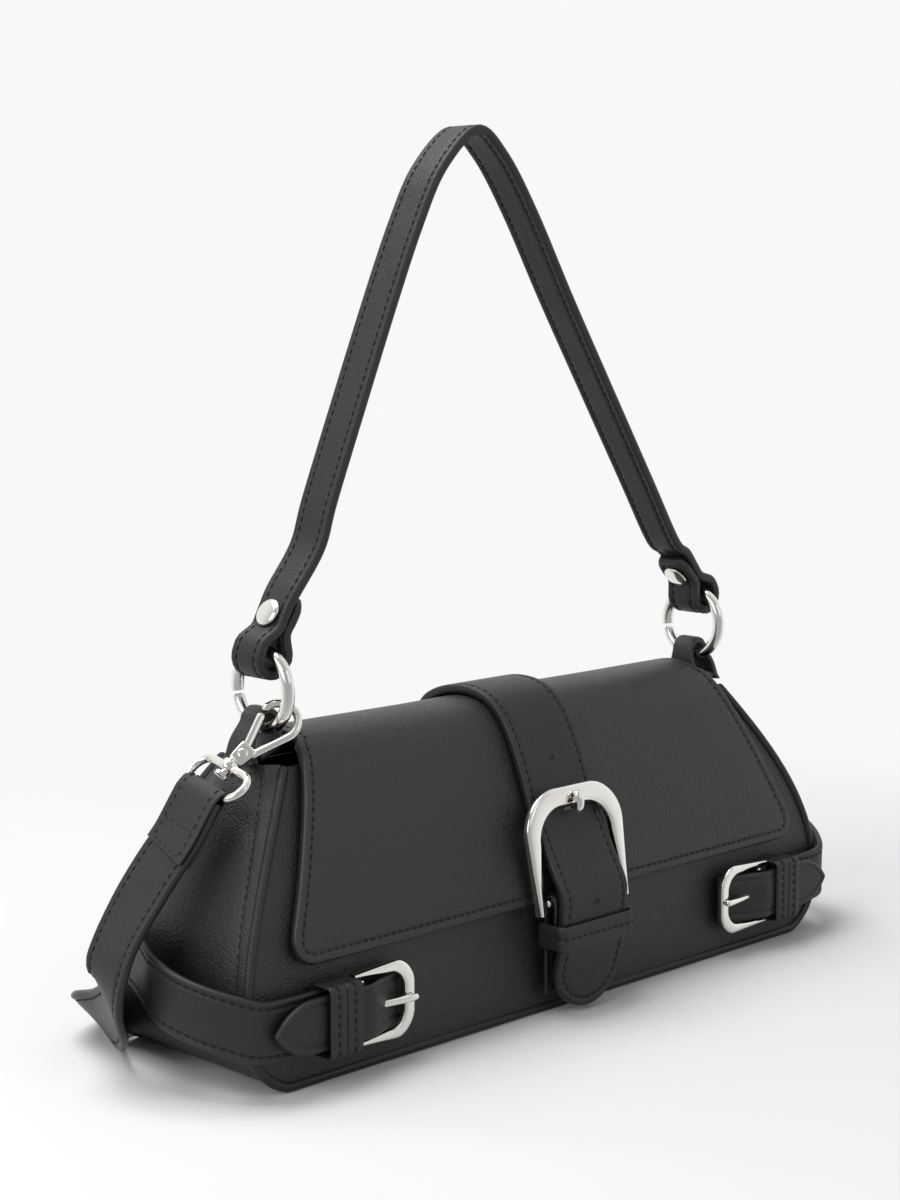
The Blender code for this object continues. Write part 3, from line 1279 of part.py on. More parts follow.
def build_swivel(word, place, along, steel):
    """Swivel loop: a collar on the hook's post and the wire loop that carries the strap."""
    width = strap_across(word)
    width = unit(width - along * (width @ along))
    collar_u = -SWIVEL_COLLAR_LENGTH / 2 - GAP
    centre = place(collar_u - SWIVEL_HALF_HEIGHT, 0.0)
    outline_points = rounded_loop(SWIVEL_HALF_WIDTH, SWIVEL_HALF_HEIGHT, SWIVEL_CORNER, 5)
    points = [centre + width * q + along * u for q, u in outline_points]
    loop = tube(word + "_swivel_loop", points, SWIVEL_WIRE_RADIUS, 8, steel, True)
    ends = (-SWIVEL_COLLAR_LENGTH / 2, SWIVEL_COLLAR_LENGTH / 2)
    radii = (SWIVEL_COLLAR_RADIUS, SWIVEL_COLLAR_RADIUS)
    middle = place(collar_u, 0.0)
    join(loop, turned(word + "_swivel_collar", middle, along, ends, radii, steel))
    bore = HOOK_POST_RADIUS + GAP
    reach = along * SWIVEL_COLLAR_LENGTH
    drill(loop, word + "_swivel_bore", middle - reach, middle + reach, bore, steel)


def join(item, other):
    """Unite another closed form with an object."""
    cut(item, other)
    item.modifiers[-1].operation = "UNION"


# Long strap's first stretch: X, Y, Z in shares of the half width, and the direction across it
LONG_STRAP_START = (
    ((-0.9499, -0.0466, 0.6343), (0.12, 0.98, 0.16)),
    ((-0.9662, -0.0403, 0.6043), (0.11, 0.98, 0.18)),
    ((-0.9992, -0.0275, 0.5435), (0.09, 0.97, 0.21)),
    ((-1.0359, -0.0076, 0.4847), (0.08, 0.97, 0.2)),
    ((-1.0756, 0.0061, 0.4237), (0.05, 0.99, 0.15)),
    ((-1.1122, 0.0145, 0.3672), (0.06, 0.99, 0.08)),
    ((-1.1405, 0.0191, 0.3183), (0.07, 1.0, 0.05)),
    ((-1.1580, 0.0221, 0.2702), (0.08, 0.98, 0.12)),
    ((-1.1519, 0.0305, 0.2130), (0.2, 0.85, 0.48)),
    ((-1.0985, 0.0824, 0.1466), (0.03, 0.57, 0.82)),
    ((-1.0305, 0.2061, 0.0878), (-0.24, 0.44, 0.87)),
    ((-0.9771, 0.3191, 0.0595), (-0.4, 0.65, 0.64)),
    ((-0.8664, 0.3618, 0.0321), (-0.18, 0.97, 0.16)),
    ((-0.7405, 0.3664, 0.0137), (0.0, 1.0, 0.02)),
)
LONG_STRAP_END_GAP = 0.0015
FOLD_RUNS = 5
LAST_RUN_POINTS = 8
LAST_RUN_RISE = 0.0014
FOLD_HALF_LENGTH = 0.083
FOLD_Y = 0.048
FOLD_LOW_Z = 0.0016
FOLD_PITCH = 0.0072
FOLD_END_PITCH = 0.0078
FOLD_FLARE_START = 0.045


def strap_across(word):
    """Direction across the long strap at one of its ends."""
    if word == "left":
        return unit(LONG_STRAP_START[0][1])
    return np.array([0.0, 1.0, 0.0])


def fold_height(run, x):
    """Height of one run of the folded strap: the runs spread towards their bends."""
    share = np.clip((abs(x) - FOLD_FLARE_START) / (FOLD_HALF_LENGTH - FOLD_FLARE_START), 0, 1)
    return FOLD_LOW_Z + run * (FOLD_PITCH + (FOLD_END_PITCH - FOLD_PITCH) * share**2)


def long_strap_path():
    """Middle line of the long strap and the direction across it."""
    start = np.array([place for place, _ in LONG_STRAP_START]) * BASE_HALF_WIDTH
    sides = np.array([side for _, side in LONG_STRAP_START])
    first = smooth_curve(start, 3)
    across = unit(smooth_curve(sides, 3))
    points = list(first)
    bend = FOLD_END_PITCH / 2
    for run in range(FOLD_RUNS):
        facing = 1 if run % 2 == 0 else -1
        reach = np.linspace(-FOLD_HALF_LENGTH, FOLD_HALF_LENGTH, 14)
        if run == 0:
            reach = reach[1:]
        if run == FOLD_RUNS - 1:
            reach = reach[:LAST_RUN_POINTS]
        for x in reach:
            points.append((facing * x, FOLD_Y, float(fold_height(run, x))))
        if run < FOLD_RUNS - 1:
            low = float(fold_height(run, FOLD_HALF_LENGTH))
            high = float(fold_height(run + 1, FOLD_HALF_LENGTH))
            for turn in np.radians((-60, -20, 20, 60)):
                z = (low + high) / 2 + bend * math.sin(turn)
                points.append((facing * (FOLD_HALF_LENGTH + bend * math.cos(turn)), FOLD_Y, z))
    points[-2] = (*points[-2][:2], points[-2][2] + LAST_RUN_RISE / 2)
    points[-1] = (*points[-1][:2], points[-1][2] + LAST_RUN_RISE)
    rest = np.broadcast_to((0.0, 1.0, 0.0), (len(points) - len(first), 3))
    return np.array(points), np.vstack([across, rest])


def build_long_strap(leather):
    """Shoulder strap from the left hook down to the floor and folded behind the bag."""
    points, across = long_strap_path()
    band("crossbody_strap", points, across, LONG_STRAP_WIDTH, LONG_STRAP_THICKNESS, leather)


def main():
    """Build every piece of the bag."""
    clear_scene()
    leather = make_material("black_leather", (0.018, 0.017, 0.017), 0.45)
    edge = make_material("edge_leather", (0.028, 0.026, 0.025), 0.5)
    cloth = make_material("lining_cloth", (0.03, 0.03, 0.03), 0.85)
    board = make_material("base_board", (0.2, 0.18, 0.15), 0.9)
    steel = make_material("polished_metal", (0.80, 0.79, 0.76), 0.12, 1.0)
    build_panels(leather)
    build_piping(edge)
    build_strips(leather)
    build_inside(cloth, board)
    build_flap(leather, steel)
    build_centre_strap(leather, edge, steel)
    build_side_belts(leather, edge, steel)
    build_metal_rings(steel, leather)
    build_handle(leather, steel)
    build_hooks(steel)
    build_long_strap(edge)


main()
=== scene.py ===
"""Black faux leather crossbody bag on a pale floor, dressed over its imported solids.

Metres, +Z up, the front towards -Y. Each section holds one piece or group of like pieces.
"""

import math

import bmesh
import bpy
import numpy as np
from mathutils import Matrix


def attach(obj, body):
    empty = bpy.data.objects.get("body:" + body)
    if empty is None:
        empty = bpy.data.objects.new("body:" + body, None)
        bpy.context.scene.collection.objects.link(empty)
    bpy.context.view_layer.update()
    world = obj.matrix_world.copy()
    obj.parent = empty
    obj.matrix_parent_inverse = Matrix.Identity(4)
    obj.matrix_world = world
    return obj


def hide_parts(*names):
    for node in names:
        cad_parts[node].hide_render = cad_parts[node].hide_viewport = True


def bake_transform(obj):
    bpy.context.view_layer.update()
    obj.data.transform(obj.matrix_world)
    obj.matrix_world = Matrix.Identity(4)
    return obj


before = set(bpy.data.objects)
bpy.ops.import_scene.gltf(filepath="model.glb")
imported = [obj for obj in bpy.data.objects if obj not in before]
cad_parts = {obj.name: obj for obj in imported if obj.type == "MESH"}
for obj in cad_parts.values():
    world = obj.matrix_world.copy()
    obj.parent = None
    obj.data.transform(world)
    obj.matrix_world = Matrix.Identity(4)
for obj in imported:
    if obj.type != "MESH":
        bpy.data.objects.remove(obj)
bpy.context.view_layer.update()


# Camera
# A long lens from the front left, a little above the bag, level with the horizon.
CAMERA_PLACE = (-0.5183, -0.5082, 0.2243)
CAMERA_TURN = math.radians(44.51)
CAMERA_TILT = math.radians(7.66)
CAMERA_LENS = 90.8

camera_data = bpy.data.cameras.new("camera")
camera_data.sensor_fit = "HORIZONTAL"
camera_data.sensor_width = 36
camera_data.lens = CAMERA_LENS
camera = bpy.data.objects.new("camera", camera_data)
camera.location = CAMERA_PLACE
camera.rotation_euler = (math.pi / 2 - CAMERA_TILT, 0, -CAMERA_TURN)
bpy.context.scene.collection.objects.link(camera)
bpy.context.scene.camera = camera
bpy.context.scene.view_settings.view_transform = "Standard"


# Floor and light
# A matt white table that fades into a white surround, under one wide soft lamp above and
# behind the bag, a large soft lamp on its left and a weak one in front.
SURROUND_WHITE = 0.939
FILL_COLOUR = (0.97, 0.985, 1.0, 1.0)
FILL_STRENGTH = 0.28
FLOOR_WHITE = 0.84
FLOOR_HALF = 1.5
FLOOR_FADE_START = 0.19
FLOOR_FADE_END = 0.44


def add_node(tree, kind, values=(), **settings):
    """Add a shader node and set its properties and the values of its inputs."""
    made = tree.nodes.new("ShaderNode" + kind)
    for key, value in settings.items():
        setattr(made, key, value)
    for key, value in dict(values).items():
        made.inputs[key].default_value = value
    return made


def join(tree, *pairs):
    """Link outputs to inputs, given in pairs."""
    for output, socket in pairs:
        tree.links.new(output, socket)


def new_material(name, values=()):
    """Node material with values set on its Principled shader; its place is the object's own."""
    material = bpy.data.materials.new(name)
    material.use_nodes = True
    tree = material.node_tree
    shader = tree.nodes["Principled BSDF"]
    for key, value in dict(values).items():
        shader.inputs[key].default_value = value
    place = add_node(tree, "TexCoord").outputs["Object"]
    return material, tree, shader.inputs, place


def map_range(tree, source, low, high, to_low, to_high, smooth=False):
    """Carry a value from one range into another, clamped."""
    values = {"From Min": low, "From Max": high, "To Min": to_low, "To Max": to_high}
    made = add_node(tree, "MapRange", values, interpolation_type="SMOOTHSTEP" if smooth else "LINEAR")
    join(tree, (source, made.inputs["Value"]))
    return made.outputs[0]


def mix_colours(tree, share, first, second):
    """Blend two colours, each an RGB triple or another node's output."""
    made = add_node(tree, "Mix", data_type="RGBA")
    join(tree, (share, made.inputs[0]))
    for socket, value in ((made.inputs[6], first), (made.inputs[7], second)):
        if isinstance(value, tuple):
            socket.default_value = (*value, 1.0)
        else:
            join(tree, (value, socket))
    return made.outputs[2]


def any_ray(tree, names):
    """1 for a ray of any of the named kinds, else 0."""
    rays = add_node(tree, "LightPath")
    total = rays.outputs[names[0]]
    for name in names[1:]:
        larger = add_node(tree, "Math", operation="MAXIMUM")
        join(tree, (total, larger.inputs[0]), (rays.outputs[name], larger.inputs[1]))
        total = larger.outputs[0]
    return total


def light_surround():
    """White to the eye, to metal and through glass; a softer fill for what it lights."""
    world = bpy.data.worlds.new("surround")
    bpy.context.scene.world = world
    world.use_nodes = True
    tree = world.node_tree
    tree.nodes.clear()
    out = add_node(tree, "OutputWorld")
    mix = add_node(tree, "MixShader")
    fill = add_node(tree, "Background", {"Color": FILL_COLOUR, "Strength": FILL_STRENGTH})
    seen = add_node(tree, "Background", {"Color": (SURROUND_WHITE,) * 3 + (1.0,), "Strength": 1.0})
    shown = any_ray(tree, ("Is Camera Ray", "Is Glossy Ray", "Is Transmission Ray"))
    join(tree, (shown, mix.inputs[0]), (fill.outputs[0], mix.inputs[1]))
    join(tree, (seen.outputs[0], mix.inputs[2]), (mix.outputs[0], out.inputs[0]))


def floor_material():
    """Matt white that fades out with its distance from the middle."""
    values = {"Roughness": 0.9, "Specular IOR Level": 0.1}
    material, tree, shader, place = new_material("table_white", values)
    length = add_node(tree, "VectorMath", operation="LENGTH")
    join(tree, (place, length.inputs[0]))
    fade = map_range(tree, length.outputs["Value"], FLOOR_FADE_START, FLOOR_FADE_END, 1.0, 0.0, True)
    mottle = add_node(tree, "TexNoise", {"Scale": 6.0})
    dim = (FLOOR_WHITE - 0.01, FLOOR_WHITE - 0.01, FLOOR_WHITE - 0.015)
    tone = mix_colours(tree, mottle.outputs["Fac"], dim, (FLOOR_WHITE + 0.01,) * 3)
    join(tree, (fade, shader["Alpha"]), (place, mottle.inputs["Vector"]), (tone, shader["Base Color"]))
    return material


def soft_lamp(name, place, target, size, power):
    """Square area lamp of a size that looks at a point."""
    lamp = bpy.data.lights.new(name, "AREA")
    lamp.size = size
    lamp.energy = power
    made = bpy.data.objects.new(name, lamp)
    made.location = place
    aim = np.array(target) - np.array(place)
    tilt = math.acos(-aim[2] / np.linalg.norm(aim))
    made.rotation_euler = (tilt, 0, math.atan2(-aim[0], aim[1]))
    bpy.context.scene.collection.objects.link(made)


floor_mesh = bpy.data.meshes.new("table")
corners = [(-FLOOR_HALF, -FLOOR_HALF, 0), (FLOOR_HALF, -FLOOR_HALF, 0)]
corners += [(FLOOR_HALF, FLOOR_HALF, 0), (-FLOOR_HALF, FLOOR_HALF, 0)]
floor_mesh.from_pydata(corners, [], [(0, 1, 2, 3)])
floor_mesh.materials.append(floor_material())
table = bpy.data.objects.new("table", floor_mesh)
bpy.context.scene.collection.objects.link(table)
light_surround()
soft_lamp("top_lamp", (-0.25, 0.35, 1.3), (0, 0, 0.05), 0.9, 15)
soft_lamp("left_lamp", (-1.3, -0.1, 0.7), (0, 0, 0.08), 0.8, 7)
soft_lamp("front_lamp", (0.1, -1.5, 1.0), (0, 0, 0.08), 0.9, 3)


# Shell
# Two leaning panels and a side strip of black faux leather, sewn together with a corded edge.
# The strip bulges out towards the top of each side, and a rolled seam runs along its edges.
BASE_HALF_WIDTH = 0.131
TOP_HALF_WIDTH = 0.100
CORNER_RADIUS = 0.020
SHELL_HEIGHT = 0.089
BASE_HALF_DEPTH = 0.0345
TOP_HALF_DEPTH = 0.014
LEAN_POWER = 1.4
PANEL_THICKNESS = 0.002
PIPING_RADIUS = 0.0015
PIPING_PROUD = 0.0009
GUSSET_BULGE = 0.007
GUSSET_BULGE_START = 0.015
SEAM_SPACE = 0.0003
PANEL_FULLNESS = 0.0001
STRIP_SEAM = 0.0040
STRIP_ROLL = 0.0001
TOP_SEAM_MARGIN = 0.006
TOP_SEAM_DROP = 0.0025
GROOVE_DEPTH = 0.00035
GROOVE_WIDTH = 0.00055
STITCH_LENGTH = 0.0020
STITCH_PITCH = 0.0028
THREAD_RADIUS = 0.00025
NORMAL_STEP = 0.001
BLACK = (0.0115, 0.0112, 0.0108)
BLACK_WORN = (0.021, 0.0204, 0.0198)
RIM_PAINT = (0.016, 0.0158, 0.0155)
RIM_FADE = (0.00015, 0.0006)
WEAR_FADE = (0.0006, 0.0016)
TONE_SPAN = (0.3, 0.7)
LEATHER_ROUGHNESS = (0.40, 0.50)
FINE_RELIEF = 0.0001
FAR_FROM_EDGE = 0.05
MERGE_DISTANCE = 0.000002
SIDES = ((-1, "left"), (1, "right"))
SHARP_DEG = 40


def new_group(name, inputs, outputs):
    """Empty node group with sockets; Place is a vector, the others are numbers."""
    group = bpy.data.node_groups.new(name, "ShaderNodeTree")
    for way, names in (("INPUT", inputs), ("OUTPUT", outputs)):
        for socket in names:
            kind = "NodeSocketVector" if socket == "Place" else "NodeSocketFloat"
            group.interface.new_socket(socket, in_out=way, socket_type=kind)
    start = group.nodes.new("NodeGroupInput")
    end = group.nodes.new("NodeGroupOutput")
    return group, start.outputs, end.inputs


def grain_group():
    """Pebbled grain: rounded cells broken up by noise, with a slow change of tone.

    Height = quick noise - 0.8 * distance from the middle of the cell; Tone = slow noise.
    """
    group, start, end = new_group("leather_grain", ("Place", "Cells per metre"), ("Height", "Tone"))
    cells = add_node(group, "TexVoronoi", {"Smoothness": 0.6}, feature="SMOOTH_F1")
    fine = add_node(group, "TexNoise", {"Detail": 3.0})
    finer = add_node(group, "Math", {1: 1.7}, operation="MULTIPLY")
    height = add_node(group, "Math", {1: -0.8}, operation="MULTIPLY_ADD")
    slow = add_node(group, "TexNoise", {"Scale": 38.0, "Detail": 5.0})
    join(group, (start["Place"], cells.inputs["Vector"]), (start["Cells per metre"], cells.inputs["Scale"]))
    join(group, (start["Cells per metre"], finer.inputs[0]), (finer.outputs[0], fine.inputs["Scale"]))
    join(group, (start["Place"], fine.inputs["Vector"]), (start["Place"], slow.inputs["Vector"]))
    join(group, (cells.outputs["Distance"], height.inputs[0]), (fine.outputs["Fac"], height.inputs[2]))
    join(group, (height.outputs[0], end["Height"]), (slow.outputs["Fac"], end["Tone"]))
    return group


GRAIN = grain_group()


def add_bump(tree, shader, height, distance, strength=1.0):
    """Give a shader the relief of a height; its strength is a number or another node's output."""
    bump = add_node(tree, "Bump", {"Distance": distance})
    if isinstance(strength, float):
        bump.inputs["Strength"].default_value = strength
    else:
        join(tree, (strength, bump.inputs["Strength"]))
    join(tree, (height, bump.inputs["Height"]), (bump.outputs[0], shader["Normal"]))


def leather_material(name, colour, worn, cells=1300.0, relief=0.00022, gloss=0.38):
    """Black coated leather: grained face, smooth painted rim, a little worn beside the rim."""
    values = {"Specular IOR Level": gloss, "Coat Weight": 0.05, "Coat Roughness": 0.3}
    material, tree, shader, place = new_material(name, values)
    grain = add_node(tree, "Group", node_tree=GRAIN)
    grain.inputs["Cells per metre"].default_value = cells
    join(tree, (place, grain.inputs["Place"]))
    edge = add_node(tree, "Attribute", attribute_name="edge").outputs["Fac"]
    rim = map_range(tree, edge, *RIM_FADE, 1.0, 0.0, True)
    wear = map_range(tree, edge, *WEAR_FADE, 0.5, 0.0, True)
    tone = map_range(tree, grain.outputs["Tone"], *TONE_SPAN, 0.0, 1.0)
    faded = tuple(0.5 * (a + b) for a, b in zip(colour, worn))
    body = mix_colours(tree, tone, colour, faded)
    body = mix_colours(tree, wear, body, worn)
    body = mix_colours(tree, rim, body, RIM_PAINT)
    rough = map_range(tree, grain.outputs["Tone"], *TONE_SPAN, *LEATHER_ROUGHNESS)
    smoother = add_node(tree, "Math", {1: -0.05}, operation="MULTIPLY_ADD")
    join(tree, (rim, smoother.inputs[0]), (rough, smoother.inputs[2]))
    join(tree, (body, shader["Base Color"]), (smoother.outputs[0], shader["Roughness"]))
    keep = add_node(tree, "Math", {1: -0.8, 2: 1.0}, operation="MULTIPLY_ADD")
    join(tree, (rim, keep.inputs[0]))
    add_bump(tree, shader, grain.outputs["Height"], relief, keep.outputs[0])
    return material


def thread_material():
    """Black twisted thread: fine diagonal ridges and a dull face."""
    material, tree, shader, place = new_material("black_thread", {"Specular IOR Level": 0.3})
    twist = add_node(tree, "TexWave", {"Scale": 700.0}, bands_direction="DIAGONAL")
    join(tree, (place, twist.inputs["Vector"]))
    height = twist.outputs["Fac"]
    body = mix_colours(tree, height, (0.006, 0.006, 0.006), (0.014, 0.014, 0.014))
    rough = map_range(tree, height, 0.0, 1.0, 0.6, 0.8)
    join(tree, (body, shader["Base Color"]), (rough, shader["Roughness"]))
    add_bump(tree, shader, height, FINE_RELIEF)
    return material


BODY_LEATHER = leather_material("body_leather", BLACK, BLACK_WORN)
STRAP_LEATHER = leather_material("strap_leather", BLACK, BLACK_WORN, 1700.0, 0.00013, 0.28)
THREAD = thread_material()


def make_piece(name, points, faces, material, uv=None, edge=None):
    """Mesh piece from points and faces; its doubles are merged and its faces turned outwards."""
    mesh = bpy.data.meshes.new(name)
    mesh.from_pydata(np.asarray(points).reshape(-1, 3).tolist(), [], faces)
    if uv is not None:
        corner = np.empty(len(mesh.loops), np.int32)
        mesh.loops.foreach_get("vertex_index", corner)
        layer = mesh.uv_layers.new(name="surface")
        layer.data.foreach_set("uv", np.asarray(uv, np.float32).reshape(-1, 2)[corner].ravel())
    distance = np.full(len(mesh.vertices), FAR_FROM_EDGE) if edge is None else np.asarray(edge).ravel()
    layer = mesh.attributes.new("edge", "FLOAT", "POINT")
    layer.data.foreach_set("value", distance.astype(np.float32))
    work = bmesh.new()
    work.from_mesh(mesh)
    bmesh.ops.remove_doubles(work, verts=work.verts, dist=MERGE_DISTANCE)
    bmesh.ops.dissolve_degenerate(work, edges=work.edges, dist=MERGE_DISTANCE / 4)
    bmesh.ops.recalc_face_normals(work, faces=work.faces)
    work.to_mesh(mesh)
    work.free()
    mesh.shade_smooth()
    mesh.set_sharp_from_angle(angle=math.radians(SHARP_DEG))
    mesh.materials.append(material)
    made = bpy.data.objects.new(name, mesh)
    bpy.context.scene.collection.objects.link(made)
    return made


def grid_faces(rows, columns, wrap_rows=False, wrap_columns=False):
    """Quads between the neighbours of a grid of points numbered row by row."""
    row = np.arange(rows if wrap_rows else rows - 1)[:, None]
    column = np.arange(columns if wrap_columns else columns - 1)[None, :]
    row_after = (row + 1) % rows
    column_after = (column + 1) % columns
    quads = (row * columns + column, row * columns + column_after)
    quads += (row_after * columns + column_after, row_after * columns + column)
    return np.stack(np.broadcast_arrays(*quads), axis=-1).reshape(-1, 4)


def loft(name, rings, material, closed=False, uv=None, edge=None):
    """Skin over closed rings of points, capped at both ends unless the rings form a loop."""
    rows, columns = rings.shape[:2]
    faces = grid_faces(rows, columns, closed, True).tolist()
    if not closed:
        half = columns // 2
        k = np.arange(half - 1)
        cap = np.stack([k, k + 1, columns - 2 - k, columns - 1 - k], axis=-1)
        faces += cap.tolist() + (cap + (rows - 1) * columns).tolist()
    return make_piece(name, rings, faces, material, uv, edge)


def plate(name, front, back, material, edge=None):
    """Closed plate between a front and a back grid of points."""
    rings = np.concatenate([front, back[:, ::-1]], axis=1)
    if edge is not None:
        edge = np.concatenate([edge, edge[:, ::-1]], axis=1)
    return loft(name, rings, material, edge=edge)


def unit(vectors):
    """Vectors scaled to length one."""
    vectors = np.asarray(vectors, float)
    return vectors / np.linalg.norm(vectors, axis=-1, keepdims=True)


def tangents(points, closed=False):
    """Unit direction of a line at each of its points."""
    if closed:
        return unit(np.roll(points, -1, axis=0) - np.roll(points, 1, axis=0))
    return unit(np.gradient(np.asarray(points, float), axis=0))


def run_lengths(points):
    """Distance along a line at each of its points."""
    return np.append(0, np.cumsum(np.linalg.norm(np.diff(points, axis=0), axis=1)))


def look_up(places, lengths, values):
    """Rows of values at the given distances, straight between the known ones."""
    return np.stack([np.interp(places, lengths, column) for column in values.T], axis=-1)


def full_turn(steps):
    """Even angles all the way round."""
    return np.linspace(0, 2 * math.pi, steps, endpoint=False)


def blunt(values, power):
    """Values to a power, with their sign kept."""
    return np.sign(values) * np.abs(values) ** power


def right_of(directions):
    """Directions in a plane turned a quarter to the right."""
    return np.column_stack([directions[:, 1], -directions[:, 0]])


def half_depth(z):
    """Half depth = top + (base - top) * cos(quarter turn * height share to the lean power)."""
    share = np.clip(np.asarray(z, float) / SHELL_HEIGHT, 0, 1)
    lean = np.cos(math.pi / 2 * share**LEAN_POWER)
    return TOP_HALF_DEPTH + (BASE_HALF_DEPTH - TOP_HALF_DEPTH) * lean


def shell_outline(offset, side_steps=60, corner_steps=24):
    """Right half of the outline: a round low corner, then a side that leans in as a cosine."""
    heights = np.linspace(CORNER_RADIUS, SHELL_HEIGHT, side_steps)
    share = (heights - CORNER_RADIUS) / (SHELL_HEIGHT - CORNER_RADIUS)
    widths = TOP_HALF_WIDTH + (BASE_HALF_WIDTH - TOP_HALF_WIDTH) * np.cos(math.pi / 2 * share)
    side = np.column_stack([widths, heights])
    side = side - offset * right_of(tangents(side))
    turns = np.linspace(-math.pi / 2, 0, corner_steps, endpoint=False)
    radius = CORNER_RADIUS - offset
    corner = (BASE_HALF_WIDTH - CORNER_RADIUS, CORNER_RADIUS)
    return np.vstack([corner + radius * np.column_stack([np.cos(turns), np.sin(turns)]), side])


def panel_points(offset, inward, facing):
    """Panel surface: y = half depth, fuller by a sine of the height, tucked in at its edges.

    Tuck = a quarter of the thickness * (1 - sqrt(1 - share^24)), share of the way to the edge.
    """
    edge = shell_outline(offset)
    shares = np.sin(np.linspace(-math.pi / 2, math.pi / 2, 61))
    x = edge[:, :1] * shares
    z = np.broadcast_to(edge[:, 1:], x.shape)
    rise = np.sin(math.pi * np.clip(z / SHELL_HEIGHT, 0, 1)) * (1 - shares**6)
    tuck = PANEL_THICKNESS / 2 * (1 - np.sqrt(1 - shares**24)) * 0.5
    y = facing * (half_depth(z) - inward + (PANEL_FULLNESS * rise if inward == 0 else 0) - tuck)
    return np.stack([x, y, z], axis=2)


for word, facing in (("front", -1), ("back", 1)):
    outer = panel_points(PIPING_RADIUS, 0.0, facing)
    inner = panel_points(PIPING_RADIUS, PANEL_THICKNESS, facing)
    panel = plate(word + "_panel_leather", outer, inner, BODY_LEATHER)
    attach(panel, "bag")
    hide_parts(word + "_panel")


def tube_rings(points, radii, guide, sides, closed=False, squash=1.0):
    """Circles carried along a line: point + radius * (cos t * guide side + sin t * other side)."""
    points = np.asarray(points, float)
    along = tangents(points, closed)
    guide = np.broadcast_to(np.asarray(guide, float), along.shape)
    first = unit(guide - along * np.sum(guide * along, axis=1, keepdims=True))
    second = np.cross(along, first)
    turns = full_turn(sides)[None, :, None]
    radii = np.broadcast_to(radii, len(points))[:, None, None]
    ring = np.cos(turns) * first[:, None] * squash + np.sin(turns) * second[:, None]
    return points[:, None] + radii * ring


def resample(points, places):
    """Points of a line at the given distances along it."""
    return look_up(places, run_lengths(points), points)


def rounded_tube(name, points, radius, guide, material, sides=20, squash=1.0, step=0.0006):
    """Round bar along a line; at x from an end: radius * sqrt(1 - (1 - x / radius)^2)."""
    points = np.asarray(points, float)
    total = run_lengths(points)[-1]
    dome = radius * (1 - np.cos(np.linspace(0, math.pi / 2, 7)))
    middle = np.linspace(radius, total - radius, max(int(total / step), 3))
    places = np.concatenate([dome[:-1], middle, total - dome[:-1][::-1]])
    distance = np.minimum(places, total - places)
    radii = radius * np.sqrt(np.clip(1 - (1 - np.clip(distance / radius, 0, 1)) ** 2, 0, 1))
    rings = tube_rings(resample(points, places), radii, guide, sides, squash=squash)
    return loft(name, rings, material)


piping_line = shell_outline(PIPING_RADIUS - PIPING_PROUD)
piping_line[:, 1] = np.maximum(piping_line[:, 1], PIPING_RADIUS)
piping_line = np.vstack([piping_line[::-1] * (-1, 1), piping_line])
for word, facing in (("front", -1), ("back", 1)):
    depth = facing * (half_depth(piping_line[:, 1]) - PIPING_RADIUS + PIPING_PROUD)
    cord = np.column_stack([piping_line[:, 0], depth, piping_line[:, 1]])
    name = word + "_piping_cord"
    piping = rounded_tube(name, cord, PIPING_RADIUS, (0, 1, 0), STRAP_LEATHER, 16, step=0.0015)
    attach(piping, "bag")
    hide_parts(word + "_piping")


def strip_half(z):
    """Half width of the side strip between the two corded edges."""
    return half_depth(z) - PIPING_RADIUS


def groove(distance, seam):
    """Dent along a seam: depth * exp(-(distance from the seam / width)^2)."""
    return GROOVE_DEPTH * np.exp(-(((distance - seam) / GROOVE_WIDTH) ** 2))


def strip_points(line, outward, y, relief):
    """Side strip: its outline, moved out by the bulge and a rolled edge with a seam groove."""
    z = np.broadcast_to(line[:, 1:], y.shape)
    half = strip_half(z)
    share = np.clip((z - GUSSET_BULGE_START) / (SHELL_HEIGHT - GUSSET_BULGE_START), 0, 1)
    bulge = GUSSET_BULGE * share * (1 - (y / half) ** 2)
    from_edge = half - np.abs(y)
    roll = STRIP_ROLL * np.sin(math.pi * np.clip(from_edge / STRIP_SEAM, 0, 1))
    out = relief * (roll * (from_edge < STRIP_SEAM) - groove(from_edge, STRIP_SEAM))
    x = line[:, :1] + bulge + out * outward[:, :1]
    return np.stack([x, y, z + out * outward[:, 1:]], axis=2)


RIM_STEPS = np.array([0, 0.04, 0.12, 0.25, 0.45, 0.7, 1.0, 1.4])
RIM_STEPS = np.append(RIM_STEPS, [1.9, 2.25, 2.5, 2.75, 3.0, 3.3, 3.8, 4.6]) / 1000


def edge_columns(reach, inner_steps=11):
    """Places across a strip, close together near both edges; reach is its half width by row."""
    reach = np.asarray(reach)[:, None]
    rim = RIM_STEPS * np.minimum(1, reach / (1.05 * RIM_STEPS[-1]))
    inner = np.linspace(-1, 1, inner_steps)[1:-1] * (reach - rim[:, -1:])
    return np.hstack([-(reach - rim), inner, (reach - rim)[:, ::-1]])


